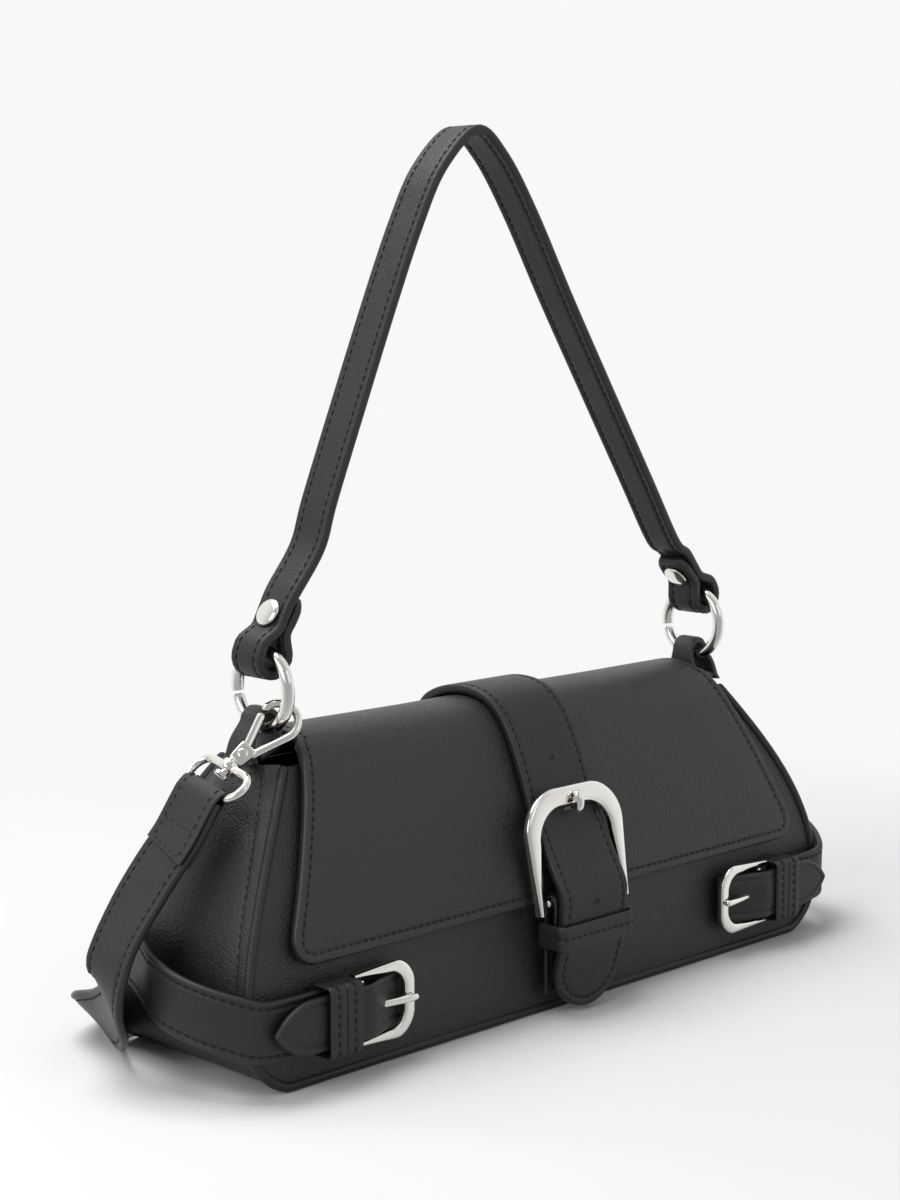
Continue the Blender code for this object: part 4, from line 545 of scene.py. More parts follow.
def stitch_mesh(name, runs):
    """Row of stitches: each is a short arched thread that dips into the leather at both ends."""
    centre, along, normal = (np.concatenate([run[k] for run in runs]) for k in range(3))
    share = np.array([-1.0, -0.8, -0.3, 0.3, 0.8, 1.0])
    radius = THREAD_RADIUS * np.array([0.3, 0.85, 1.0, 1.0, 0.85, 0.3])
    turns = full_turn(6)
    x = np.repeat(share * STITCH_LENGTH / 2, 6)
    y = (radius[:, None] * np.cos(turns)).ravel()
    z = (radius[:, None] * np.sin(turns)).ravel() - np.repeat(1.3 * THREAD_RADIUS * share**4, 6)
    points = centre[:, None] + x[:, None] * along[:, None]
    points = points + y[:, None] * np.cross(normal, along)[:, None] + z[:, None] * normal[:, None]
    one = grid_faces(6, 6, False, True)
    quads = (one[None] + (np.arange(len(centre)) * 36)[:, None, None]).reshape(-1, 4).tolist()
    return make_piece(name, points, quads, THREAD)


def stitch_run(line, above):
    """Centres, directions and normals of stitches at an even pitch along a line on the leather."""
    lengths = run_lengths(line)
    count = max(int(round(lengths[-1] / STITCH_PITCH)), 1)
    places = (np.arange(count) + 0.5) * lengths[-1] / count
    along, normal = (unit(look_up(places, lengths, v)) for v in (tangents(line), above - line))
    return look_up(places, lengths, line), along, normal


def strip_piece(name, line, outward, side):
    """One stretch of the side strip with its two seams; side -1 is the left of the bag."""
    half = strip_half(line[:, 1])
    y = edge_columns(half)
    outer = strip_points(line, outward, y, 1.0)
    inner = strip_points(line - PANEL_THICKNESS * outward, outward, y, 0.0)
    mirror = np.array([side, 1, 1])
    made = plate(name + "_leather", outer * mirror, inner * mirror, BODY_LEATHER)
    runs = []
    for edge in (-1, 1):
        track = edge * (half - STRIP_SEAM)[:, None]
        on = strip_points(line, outward, track, 1.0)[:, 0]
        over = on + np.insert(outward, 1, 0.0, axis=1) * NORMAL_STEP
        runs.append(stitch_run(on * mirror, over * mirror))
    return made, runs


gusset_line = shell_outline(0.0)
gusset_out = right_of(tangents(gusset_line))
for side, word in SIDES:
    gusset, runs = strip_piece(word + "_gusset", gusset_line, gusset_out, side)
    top_y = np.linspace(-1, 1, 40) * (TOP_HALF_DEPTH - TOP_SEAM_MARGIN)
    low = np.abs(gusset_line[:, 1] - (SHELL_HEIGHT - TOP_SEAM_DROP)).argmin()
    row = slice(low, low + 1)
    across = strip_points(gusset_line[row], gusset_out[row], top_y[None], 1.0)[0] * (side, 1, 1)
    runs.append(stitch_run(across, across + np.array([side, 0, 0.3]) * NORMAL_STEP))
    seams = stitch_mesh(word + "_gusset_stitches", runs)
    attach(gusset, "bag")
    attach(seams, "bag")
    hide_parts(word + "_gusset")

base_x = np.linspace(-1, 1, 60) * (BASE_HALF_WIDTH - CORNER_RADIUS - SEAM_SPACE)
base_half = float(strip_half(0.0))
base_y = edge_columns(np.full(60, base_half))
base_x = np.broadcast_to(base_x[:, None], base_y.shape)
base_low = np.stack([base_x, base_y, groove(base_half - np.abs(base_y), STRIP_SEAM)], axis=2)
base_high = base_low * (1, 1, 0) + (0, 0, PANEL_THICKNESS)
base = plate("base_leather", base_low, base_high, BODY_LEATHER)
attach(base, "bag")
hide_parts("base_panel")


# Lining, board and pocket
# A black woven pouch glued inside the shell, a grey board under it and a slip pocket at the back.
LINING_SPACE = 0.0005
LINING_THICKNESS = 0.0008
LINING_TOP_DROP = 0.003
BOARD_THICKNESS = 0.0017
POCKET_HALF_WIDTH = 0.055
POCKET_BOTTOM = 0.021
POCKET_TOP = 0.067
POCKET_THICKNESS = 0.0009
POCKET_SLACK = 0.0008
LINING_DARK = (0.012, 0.012, 0.013)
LINING_LIGHT = (0.035, 0.035, 0.037)
BOARD_DARK = (0.12, 0.11, 0.10)
BOARD_LIGHT = (0.18, 0.17, 0.15)


def woven_material(name, dark, light, threads):
    """Plain weave: crossed waves on the piece's own place give the threads their height and tone."""
    material, tree, shader, place = new_material(name, {"Roughness": 0.85, "Sheen Weight": 0.2})
    product = add_node(tree, "Math", operation="MULTIPLY")
    for slot, direction in enumerate(("X", "Z")):
        values = {"Scale": threads, "Distortion": 0.3}
        wave = add_node(tree, "TexWave", values, bands_direction=direction)
        join(tree, (place, wave.inputs["Vector"]), (wave.outputs["Fac"], product.inputs[slot]))
    height = product.outputs[0]
    join(tree, (mix_colours(tree, height, dark, light), shader["Base Color"]))
    add_bump(tree, shader, height, FINE_RELIEF)
    return material


def paint_node(node, material):
    """Give a solid that stays as packed its own material."""
    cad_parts[node].data.materials.clear()
    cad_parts[node].data.materials.append(material)


LINING_CLOTH = woven_material("lining_cloth", LINING_DARK, LINING_LIGHT, 260.0)
paint_node("base_board", woven_material("pressed_board", BOARD_DARK, BOARD_LIGHT, 90.0))


def pouch_level(offset, z, count=96):
    """Loop at a height: a rounded box, x = width * cos^0.35 and y = depth * sin^0.35."""
    edge = shell_outline(offset)
    width = np.interp(z, edge[:, 1], edge[:, 0])
    depth = half_depth(z) - offset
    turns = full_turn(count)
    x = width[:, None] * blunt(np.cos(turns), 0.35)
    y = depth[:, None] * blunt(np.sin(turns), 0.35)
    return np.stack([x, y, np.broadcast_to(z[:, None], x.shape)], axis=2)


lining_out = 2 * PIPING_RADIUS + SEAM_SPACE + LINING_SPACE
lining_in = lining_out + LINING_THICKNESS
lining_floor = PANEL_THICKNESS + 2 * SEAM_SPACE + BOARD_THICKNESS
lining_top = SHELL_HEIGHT - LINING_TOP_DROP
levels = np.linspace(lining_floor, lining_top, 24)
inner_levels = np.linspace(lining_top, lining_floor + LINING_THICKNESS, 24)
pouch_rings = np.concatenate([pouch_level(lining_out, levels), pouch_level(lining_in, inner_levels)])
lining = loft("lining_pouch", pouch_rings, LINING_CLOTH)
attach(lining, "bag")
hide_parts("lining")

pocket_z = np.linspace(POCKET_BOTTOM, POCKET_TOP, 30)
pocket_x = np.linspace(-POCKET_HALF_WIDTH, POCKET_HALF_WIDTH, 40)
grid_x, grid_z = np.meshgrid(pocket_x, pocket_z)
slack = POCKET_SLACK * np.sin(math.pi * (grid_x / POCKET_HALF_WIDTH + 1) / 2)
slack = slack * (grid_z - POCKET_BOTTOM) / (POCKET_TOP - POCKET_BOTTOM)
pocket_back = half_depth(grid_z) - lining_in - SEAM_SPACE
back_face = np.stack([grid_x, pocket_back, grid_z], axis=2)
front_face = np.stack([grid_x, pocket_back - POCKET_THICKNESS - slack, grid_z], axis=2)
pocket = plate("slip_pocket", front_face, back_face, LINING_CLOTH)
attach(pocket, "bag")
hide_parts("inner_pocket")


# Flap
# One thick piece of grained leather from the back panel over the top and down the front, with
# a turned edge, a stitched border and two round low corners. It folds along the crest.
FLAP_THICKNESS = 0.003
FLAP_CREST_HALF_WIDTH = 0.0920
FLAP_LOW_HALF_WIDTH = 0.1175
FLAP_CORNER_RADIUS = 0.011
FLAP_LOW_Z = 0.036
FLAP_CREST_Z = 0.0975
FLAP_FRONT_Y = -0.0368
FLAP_BACK_Y = 0.0176
FLAP_PROFILE_SHARES = (
    (0.0, 0.865), (0.07, 0.935), (0.21, 0.985), (0.37, 1.0), (0.52, 0.972), (0.635, 0.89),
    (0.735, 0.74), (0.835, 0.52), (0.925, 0.27), (1.0, 0.0),
)
PROFILE_STEPS = 16
CREST_ROW = 4 * PROFILE_STEPS
SEAM_STRIP_HEIGHT = 0.022
SEAM_STRIP_DROP = 0.0028
FLAP_SEAM = 0.0030
FLAP_RIM = 0.0013
FLAP_SEAM_START = 0.002
FLAP_SOFTNESS = 0.0004
FLAP_FIRM_LENGTH = 0.02


def spline(points, steps):
    """Catmull-Rom curve through points: each span is a cubic of its four nearest points."""
    points = np.asarray(points, float)
    padded = np.vstack([2 * points[0] - points[1], points, 2 * points[-1] - points[-2]])
    a, b, c, d = (padded[k : len(padded) - 3 + k, None] for k in range(4))
    t = np.linspace(0, 1, steps, endpoint=False)[None, :, None]
    curve = b + (c - a) * t / 2 + (2 * a - 5 * b + 4 * c - d) * t**2 / 2
    curve = curve + (3 * b - a - 3 * c + d) * t**3 / 2
    return np.vstack([curve.reshape(-1, points.shape[1]), points[-1:]])


def flap_profile(lift):
    """The flap's outer face in Y and Z, moved outwards by a lift."""
    shares = np.array(FLAP_PROFILE_SHARES)
    y = FLAP_BACK_Y + shares[:, 0] * (FLAP_FRONT_Y - FLAP_BACK_Y)
    z = FLAP_LOW_Z + shares[:, 1] * (FLAP_CREST_Z - FLAP_LOW_Z)
    line = spline(np.column_stack([y, z]), PROFILE_STEPS)
    return line + lift * right_of(tangents(line))


def in_space(line, x=0.0):
    """Points in Y and Z turned into points in space."""
    return np.column_stack([np.full(len(line), x), line])


def strap_path(points, across, step=0.0008):
    """Middle line p at even steps s, with the directions across it (a) and out of its face (n)."""
    points = np.asarray(points, float)
    across = np.array(np.broadcast_to(across, points.shape), float)
    lengths = run_lengths(points)
    places = np.linspace(0, lengths[-1], max(int(lengths[-1] / step), 8))
    line = look_up(places, lengths, points)
    side = look_up(places, lengths, across)
    along = tangents(line)
    side = unit(side - along * np.sum(along * side, axis=1, keepdims=True))
    return {"s": places, "p": line, "a": side, "n": np.cross(along, side)}


def place_on(path, s, u, h):
    """Point = middle line at s + u * across + h * outward."""
    s, u, h = np.broadcast_arrays(s, u, h)
    middle, across, outward = (look_up(s, path["s"], path[key]) for key in "pan")
    return middle + u[..., None] * across + h[..., None] * outward


def edge_distance(s, u, half_width, total, free):
    """Distance on the flat leather from each point to the nearest cut edge."""
    run = total * np.sin(np.linspace(0, math.pi / 2, 160))
    run = np.unique(np.concatenate([run, total - run]))
    reach = half_width(run)
    lines = [np.column_stack([run, reach]), np.column_stack([run, -reach])]
    for at, cut in zip((0.0, total), free):
        if cut:
            lines.append(np.array([(at, -half_width(at)), (at, half_width(at))], float))
    points = np.column_stack([s.ravel(), u.ravel()])
    nearest = np.full(len(points), np.inf)
    for line in lines:
        start = line[:-1]
        span = line[1:] - start
        size = np.maximum(np.sum(span**2, axis=1), 1e-18)
        for first in range(0, len(points), 4000):
            batch = slice(first, first + 4000)
            away = points[batch, None] - start
            share = np.clip(np.sum(away * span, axis=2) / size, 0, 1)
            gap = np.linalg.norm(away - share[..., None] * span, axis=2).min(axis=1)
            nearest[batch] = np.minimum(nearest[batch], gap)
    return nearest.reshape(s.shape)


def face_height(distance, thickness, seam, rim):
    """Half thickness * (1 - (1 - distance / rim)^2.4)^(1/2.4), less the seam's groove."""
    inside = np.clip(1 - distance / rim, 0, 1)
    height = thickness / 2 * (1 - inside**2.4) ** (1 / 2.4)
    return height - (groove(distance, seam) if seam else 0)


def strap(
    name, path, half_width, thickness, material, free, seam, rim, step=0.0016, tip=0.0, waves=None, both=True
):
    """Leather strap or flap along a path: a flat outline with rounded rims and a seam groove.

    free says which ends are cut edges; tip is the length of a round or pointed end; both says
    whether the lower face has the groove too.
    """
    total = path["s"][-1]
    rows = [np.linspace(0, total, max(int(total / step), 4))]
    if free[0]:
        rows.append(RIM_STEPS[RIM_STEPS < total / 2])
    if free[1]:
        rows.append(total - RIM_STEPS[RIM_STEPS < total / 2])
    if tip:
        rows.append(total - tip * (1 - np.sin(np.linspace(0, math.pi / 2, 40))))
    rows = np.unique(np.concatenate(rows).round(7))
    rows = rows[np.append(True, np.diff(rows) > 0.00001)]
    u = edge_columns(half_width(rows))
    s = np.broadcast_to(rows[:, None], u.shape)
    distance = edge_distance(s, u, half_width, total, free)
    top = face_height(distance, thickness, seam, rim)
    low = face_height(distance, thickness, seam if both else 0, rim)
    drift = waves(s, u) if waves else 0.0
    upper = place_on(path, s, u, top + drift)
    lower = place_on(path, s, u, drift - low)
    rings = np.concatenate([upper, lower[:, ::-1]], axis=1)
    flat = np.stack([u, s], axis=2)
    flat = np.concatenate([flat, flat[:, ::-1]], axis=1)
    edge = np.concatenate([distance, distance[:, ::-1]], axis=1)
    return loft(name, rings, material, uv=flat, edge=edge)


def border(half_width, seam, start, stop, around=True):
    """Line at a distance inside the outline, up one side, round the end and back."""
    s = start + (stop - start) * np.sin(np.linspace(0, math.pi / 2, 500))
    reach = half_width(s)
    slope = np.gradient(reach, s)
    size = np.sqrt(1 + slope**2)
    line = np.column_stack([s + seam * slope / size, reach - seam / size])
    line = line[(line[:, 1] > 0) & (line[:, 0] >= start)]
    if around:
        line = line[line[:, 0] <= stop - seam * 0.999]
        return [np.vstack([line, line[::-1] * (1, -1)])]
    return [line, line * (1, -1)]


def sew(name, path, lines, thickness, faces=(1,), waves=None):
    """Stitches along lines of s and u on one face or both."""
    runs = []
    height = thickness / 2 - GROOVE_DEPTH + THREAD_RADIUS * 0.7
    for line in lines:
        s, u = line.T
        drift = waves(s, u) if waves else 0.0
        for face in faces:
            on = place_on(path, s, u, drift + face * height)
            over = place_on(path, s, u, drift + face * (height + NORMAL_STEP))
            keep = np.append(True, np.linalg.norm(np.diff(on, axis=0), axis=1) > 1e-6)
            runs.append(stitch_run(on[keep], over[keep]))
    return stitch_mesh(name, runs)


def even_half(width):
    """Half width of a strap that is equally wide all along."""
    return lambda s: np.full(np.shape(s), width / 2)


crest_outer = flap_profile(0.0)[CREST_ROW]
flap_line = flap_profile(-FLAP_THICKNESS / 2)
flap_path = strap_path(in_space(flap_line), (1.0, 0.0, 0.0))
flap_length = flap_path["s"][-1]


def flap_half(s):
    """Crest width down to the fold, then wider in step with the fall, with round low corners."""
    z = np.interp(s, flap_path["s"], flap_path["p"][:, 2])
    fold = flap_path["s"][np.abs(flap_path["p"][:, 1] - crest_outer[0]).argmin()]
    share = (FLAP_CREST_Z - z) / (FLAP_CREST_Z - FLAP_LOW_Z) * (s > fold)
    width = FLAP_CREST_HALF_WIDTH + (FLAP_LOW_HALF_WIDTH - FLAP_CREST_HALF_WIDTH) * share
    left = np.clip(FLAP_CORNER_RADIUS - (flap_length - s), 0, FLAP_CORNER_RADIUS)
    return width - FLAP_CORNER_RADIUS + np.sqrt(np.maximum(FLAP_CORNER_RADIUS**2 - left**2, 0))


def flap_waves(s, u):
    """Slight unevenness of soft leather: two crossed sines that die out towards the rims."""
    fade = np.clip(1 - np.abs(u) / FLAP_LOW_HALF_WIDTH, 0, 1)
    fade = fade * np.clip((flap_length - s) / FLAP_FIRM_LENGTH, 0, 1)
    return FLAP_SOFTNESS * fade * np.sin(u * 55 + s * 30) * np.sin(s * 70 - u * 18)


def over_fold(piece):
    """Bake a piece's transform into its mesh; the piece keeps the shape it was made in, folded over the
    crest where the flap's front meets its top.
    """
    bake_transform(piece)


flap = strap(
    "flap_leather", flap_path, flap_half, FLAP_THICKNESS, BODY_LEATHER, (False, True), FLAP_SEAM,
    FLAP_RIM, tip=FLAP_CORNER_RADIUS, waves=flap_waves, both=False,
)
over_fold(flap)
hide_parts("flap_top", "flap_front")
flap_seam = border(flap_half, FLAP_SEAM, FLAP_SEAM_START, flap_length)
flap_stitches = sew("flap_stitches", flap_path, flap_seam, FLAP_THICKNESS, waves=flap_waves)
over_fold(flap_stitches)

strip_top = SHELL_HEIGHT - SEAM_STRIP_DROP
strip_z = np.linspace(strip_top, strip_top - SEAM_STRIP_HEIGHT, 12)
strip_y = half_depth(strip_z) + SEAM_SPACE + FLAP_THICKNESS / 2
back_path = strap_path(in_space(np.column_stack([strip_y, strip_z])), (-1.0, 0.0, 0.0))
back_half = even_half(2 * FLAP_CREST_HALF_WIDTH)
back_strip = strap(
    "flap_back_leather", back_path, back_half, FLAP_THICKNESS, BODY_LEATHER, (False, True), FLAP_SEAM,
    FLAP_RIM, both=False,
)
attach(back_strip, "bag")
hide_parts("flap_seam_strip")
back_seam = border(back_half, FLAP_SEAM, 0.0, back_path["s"][-1])
back_stitches = sew("flap_back_stitches", back_path, back_seam, FLAP_THICKNESS)
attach(back_stitches, "bag")


# Metal of the snap, buckles, rings, rivets and hooks
# Cast zinc, polished and plated in bright silver, with faint rubbing marks.
METAL = (0.90, 0.88, 0.84)
METAL_DULL = (0.78, 0.76, 0.72)
# Dark grey of the painted reflection, mixed in where the metal faces the camera.
METAL_PAINTED_DARK_REFLECTION = (0.30, 0.29, 0.275)
SCRATCH_RELIEF = 0.00004


def polish_group():
    """Rubbing marks: long thin noise and a slow smear, put out as two masks from 0 to 1."""
    group, start, end = new_group("polish_marks", ("Place",), ("Scratches", "Smear"))
    stretched = {"Scale": (1.0, 1.0, 9.0), "Rotation": (0.4, 0.3, 0.6)}
    stretch = add_node(group, "Mapping", stretched)
    scratches = add_node(group, "TexNoise", {"Scale": 900.0, "Detail": 4.0})
    smear = add_node(group, "TexNoise", {"Scale": 120.0})
    join(group, (start["Place"], stretch.inputs["Vector"]), (start["Place"], smear.inputs["Vector"]))
    join(group, (stretch.outputs[0], scratches.inputs["Vector"]))
    join(group, (scratches.outputs["Fac"], end["Scratches"]), (smear.outputs["Fac"], end["Smear"]))
    return group


def metal_material(name, roughness):
    """Polished plate: near-white metal with a painted dark reflection where it faces the camera, dull in
    smears, with fine scratches.
    """
    material, tree, shader, place = new_material(name, {"Metallic": 1.0})
    marks = add_node(tree, "Group", node_tree=POLISH)
    join(tree, (place, marks.inputs["Place"]))
    smear = marks.outputs["Smear"]
    facing = add_node(tree, "LayerWeight", {"Blend": 0.5}).outputs["Facing"]
    dull = map_range(tree, smear, 0.35, 0.75, 0.0, 0.5)
    # Painted dark reflection: the colour goes towards dark grey where the surface faces the camera.
    painted_reflection = map_range(tree, facing, 0.02, 0.45, 0.85, 0.0, True)
    colour = mix_colours(tree, dull, METAL, METAL_DULL)
    colour = mix_colours(tree, painted_reflection, colour, METAL_PAINTED_DARK_REFLECTION)
    rough = map_range(tree, smear, *TONE_SPAN, roughness, roughness * 1.8)
    join(tree, (colour, shader["Base Color"]), (rough, shader["Roughness"]))
    add_bump(tree, shader, marks.outputs["Scratches"], SCRATCH_RELIEF, 0.12)
    return material


POLISH = polish_group()
BRIGHT = metal_material("polished_silver", 0.07)
SATIN = metal_material("snap_metal", 0.22)
for node in ("snap_socket", "snap_plate"):
    paint_node(node, SATIN)


# Centre strap
# A doubled strap sewn on the flap's top, hanging free down its front through the buckle and
# the keeper to a round tip, with punched holes.
STRAP_WIDTH = 0.0298
STRAP_THICKNESS = 0.003
STRAP_END_Z = 0.0016
STRAP_TIP_LENGTH = 0.014
TAB_THICKNESS = 0.0012
TAB_LOW_Z = 0.007
BUCKLE_WIDTH = 0.0442
BUCKLE_TOP_Z = 0.0715
BUCKLE_LOW_Z = 0.0335
BUCKLE_BAR_WIDTH = 0.0062
BUCKLE_CORNER_DROP = 0.0107
BUCKLE_ARM_WIDTH = 0.0056
BUCKLE_ARM_TIP_WIDTH = 0.0016
BUCKLE_THICKNESS = 0.0032
BUCKLE_AXLE_RADIUS = 0.0012
BUCKLE_AXLE_Y = -0.0403
BUCKLE_AXLE_Z = 0.0367
PRONG_RADIUS = 0.0011
KEEPER_HEIGHT = 0.0080
KEEPER_THICKNESS = 0.0014
KEEPER_LOW_Z = 0.0225
KEEPER_DIP_WIDTH = 0.0007
STRAP_SEAM = 0.0026
STRAP_RIM = 0.0012
THIN_RIM = 0.0006
HOLE_RADIUS = 0.0009
HOLE_RIM = ((0.0, 0.04), (0.72, 0.04), (0.86, 0.08), (1.0, 0.14), (1.22, 0.10), (1.35, -0.1))
HOLE_DEPTH = 0.0001
HOLE_STRAP_Z = (0.0785, 0.0360)


def profile_at(z, lift):
    """Y of the flap's front at a height, moved outwards by a lift."""
    line = flap_profile(lift)[CREST_ROW:]
    return float(np.interp(z, line[::-1, 1], line[::-1, 0]))


def centre_strap_line():
    """Middle line of the strap in Y and Z, from the back edge of the flap to the tip."""
    lift = SEAM_SPACE + STRAP_THICKNESS / 2
    upper = flap_profile(lift)
    leave_z = BUCKLE_TOP_Z - BUCKLE_BAR_WIDTH
    front = np.arange(len(upper)) > CREST_ROW
    upper = upper[~front | (upper[:, 1] > leave_z)]
    half = STRAP_THICKNESS / 2
    over_axle = BUCKLE_AXLE_Y - BUCKLE_AXLE_RADIUS - 2 * SEAM_SPACE - TAB_THICKNESS - half - SEAM_SPACE
    bend_z = leave_z - BUCKLE_BAR_WIDTH
    points = [
        upper[-1], (profile_at(bend_z, lift) - half, bend_z),
        ((profile_at(bend_z, lift) + over_axle) / 2 - half, (bend_z + BUCKLE_AXLE_Z) / 2),
        (over_axle, BUCKLE_AXLE_Z + STRAP_THICKNESS), (over_axle, BUCKLE_AXLE_Z - STRAP_THICKNESS),
        (over_axle, KEEPER_LOW_Z + KEEPER_HEIGHT), (over_axle + half / 2, KEEPER_LOW_Z),
        (over_axle + STRAP_THICKNESS, (KEEPER_LOW_Z + STRAP_END_Z) / 2),
        (over_axle + STRAP_THICKNESS, STRAP_END_Z),
    ]
    return np.vstack([upper[:-1], spline(points, 12)])


centre_line = centre_strap_line()
centre_path = strap_path(in_space(centre_line), (1.0, 0.0, 0.0))
centre_length = centre_path["s"][-1]


def centre_half(s):
    """Half width: full, then a round tip over the last stretch."""
    left = np.clip(1 - (centre_length - s) / STRAP_TIP_LENGTH, 0, 1)
    return STRAP_WIDTH / 2 * np.sqrt(np.maximum(1 - left**2, 0))


centre = strap(
    "centre_strap_leather", centre_path, centre_half, STRAP_THICKNESS, STRAP_LEATHER, (False, True),
    STRAP_SEAM, STRAP_RIM, tip=STRAP_TIP_LENGTH,
)
over_fold(centre)
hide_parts("strap_crest", "centre_strap")
centre_seam = border(centre_half, STRAP_SEAM, 0.0, centre_length)
centre_stitches = sew("centre_strap_stitches", centre_path, centre_seam, STRAP_THICKNESS, (1, -1))
over_fold(centre_stitches)


def centre_y_at(z, points=None):
    """Y of the centre strap's middle line at a height, read from its tip upwards."""
    line = centre_line[::-1][:points]
    return float(np.interp(z, line[:, 1], line[:, 0]))


def punched_hole(name, z):
    """Rim and floor of a punched hole in near-black painted shade: circles that sink a little into the
    strap's face.
    """
    spot = np.array([0.0, centre_y_at(z), z])
    near = np.abs(centre_line[:, 1] - z).argmin()
    along = np.array([0.0, *tangents(centre_line)[near]])
    out = np.cross(along, (1.0, 0.0, 0.0))
    out = out * -np.sign(out[1])
    reach, rise = np.array(HOLE_RIM).T
    height = STRAP_THICKNESS / 2 + rise / 1000
    turns = full_turn(32)
    circle = np.cos(turns)[:, None] * np.array([1.0, 0.0, 0.0]) + np.sin(turns)[:, None] * along
    rings = spot + height[:, None, None] * out + HOLE_RADIUS * reach[:, None, None] * circle[None]
    rings = np.concatenate([rings, (spot - HOLE_DEPTH * out + 0 * circle)[None]])
    return loft(name, rings, HOLE_PAINTED_SHADE)


# Painted shade: the holes are near-black discs, darker than the strap, standing in for the shade inside a
# through hole.
HOLE_PAINTED_SHADE = leather_material("punched_hole_painted_shade", (0.004,) * 3, (0.008,) * 3, gloss=0.2)
for word, hole_z in zip(("upper", "lower"), HOLE_STRAP_Z):
    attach(punched_hole(f"centre_strap_{word}_hole", hole_z), "flap")

tab_radius = BUCKLE_AXLE_RADIUS + SEAM_SPACE + TAB_THICKNESS / 2
tab_turns = np.radians(np.linspace(0, 180, 25))
tab_y = BUCKLE_AXLE_Y - tab_radius * np.cos(tab_turns)
tab_loop = np.column_stack([tab_y, BUCKLE_AXLE_Z + tab_radius * np.sin(tab_turns)])
tab_front = [(tab_y[0], KEEPER_LOW_Z + KEEPER_HEIGHT / 2)]
tab_back = [(tab_y[-1], KEEPER_LOW_Z + KEEPER_HEIGHT / 2), (tab_y[-1], TAB_LOW_Z)]
tab_path = strap_path(in_space(np.vstack([tab_front, tab_loop, tab_back])), (1.0, 0.0, 0.0))
tab_half = even_half(STRAP_WIDTH)
buckle_tab = strap(
    "buckle_tab_leather", tab_path, tab_half, TAB_THICKNESS, STRAP_LEATHER, (True, True), STRAP_SEAM,
    THIN_RIM,
)
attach(buckle_tab, "flap")
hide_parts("buckle_tab")
tab_seam = border(tab_half, STRAP_SEAM, tab_path["s"][-1] * 0.55, tab_path["s"][-1])
tab_stitches = sew("buckle_tab_stitches", tab_path, tab_seam, TAB_THICKNESS, (1, -1))
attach(tab_stitches, "flap")


def rounded_loop(half_x, half_y, radius, corner_steps=12, side_steps=14):
    """Closed outline of a rectangle with round corners, starting on the +x side."""
    quarter = np.linspace(0, math.pi / 2, corner_steps)
    points = []
    for turn, (sx, sy) in enumerate(((1, 1), (-1, 1), (-1, -1), (1, -1))):
        angle = quarter + turn * math.pi / 2
        corner = (sx * (half_x - radius), sy * (half_y - radius))
        points.append(corner + radius * np.column_stack([np.cos(angle), np.sin(angle)]))
    closed = np.vstack([*points, points[0][:1]])
    lengths = run_lengths(closed)
    places = np.linspace(0, lengths[-1], 4 * (corner_steps + side_steps), endpoint=False)
    return look_up(places, lengths, closed)


def keeper(name, centre, axis_a, axis_b, width_axis, half_a, half_b, width, thickness, body, node):
    """Closed leather band round a strap: two beads with a stitched dip between them.

    Bead = half thickness * (1 - rim^2.4)^(1/2.4), less half a groove * exp(-(across / 0.7 mm)^2).
    """
    loop = rounded_loop(half_a, half_b, thickness * 1.15)
    axis_a, axis_b, width_axis = (np.array(v, float) for v in (axis_a, axis_b, width_axis))
    line = centre + loop[:, :1] * axis_a + loop[:, 1:] * axis_b
    along = tangents(line, True)
    out = np.cross(along, width_axis)
    if np.sum(out * (line - centre)) < 0:
        out = -out
    across = np.linspace(-1, 1, 33) * width / 2
    rim = np.clip(1 - (width / 2 - np.abs(across)) / (width * 0.28), 0, 1)
    bead = thickness / 2 * (1 - rim**2.4) ** (1 / 2.4)
    dip = 0.5 * GROOVE_DEPTH * np.exp(-((across / KEEPER_DIP_WIDTH) ** 2))
    heights = np.concatenate([bead - dip, -bead[::-1]])
    places = np.concatenate([across, across[::-1]])
    rings = line[:, None] + places[None, :, None] * width_axis + heights[None, :, None] * out[:, None]
    edge = np.broadcast_to(width / 2 - np.abs(places), rings.shape[:2])
    made = loft(name + "_leather", rings, STRAP_LEATHER, closed=True, edge=edge)
    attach(made, body)
    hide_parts(node)
    height = thickness / 2 - 0.5 * GROOVE_DEPTH + THREAD_RADIUS * 0.6
    seam = np.vstack([line, line[:1]])
    seam_out = np.vstack([out, out[:1]])
    rows = stitch_run(seam + height * seam_out, seam + (height + NORMAL_STEP) * seam_out)
    threads = stitch_mesh(name + "_stitches", [rows])
    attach(threads, body)


keeper_half = KEEPER_THICKNESS / 2
strap_y = centre_y_at(KEEPER_LOW_Z + KEEPER_HEIGHT, 200)
front_y = strap_y - STRAP_THICKNESS / 2 - SEAM_SPACE - keeper_half
back_y = BUCKLE_AXLE_Y + BUCKLE_AXLE_RADIUS + SEAM_SPACE + TAB_THICKNESS + SEAM_SPACE + keeper_half
keeper(
    "centre_keeper", np.array([0.0, (front_y + back_y) / 2, KEEPER_LOW_Z + KEEPER_HEIGHT / 2]),
    (1, 0, 0), (0, 1, 0), (0, 0, 1), STRAP_WIDTH / 2 + 2 * SEAM_SPACE + keeper_half,
    (back_y - front_y) / 2, KEEPER_HEIGHT, KEEPER_THICKNESS, "flap", "centre_keeper",
)


# Centre buckle
# A cast frame: a broad top bar whose arms thin out down to the axle, a round axle and a prong
# that lies across the bar.
FRAME_CROWN = 0.0012
PRONG_SHARE = 1.35


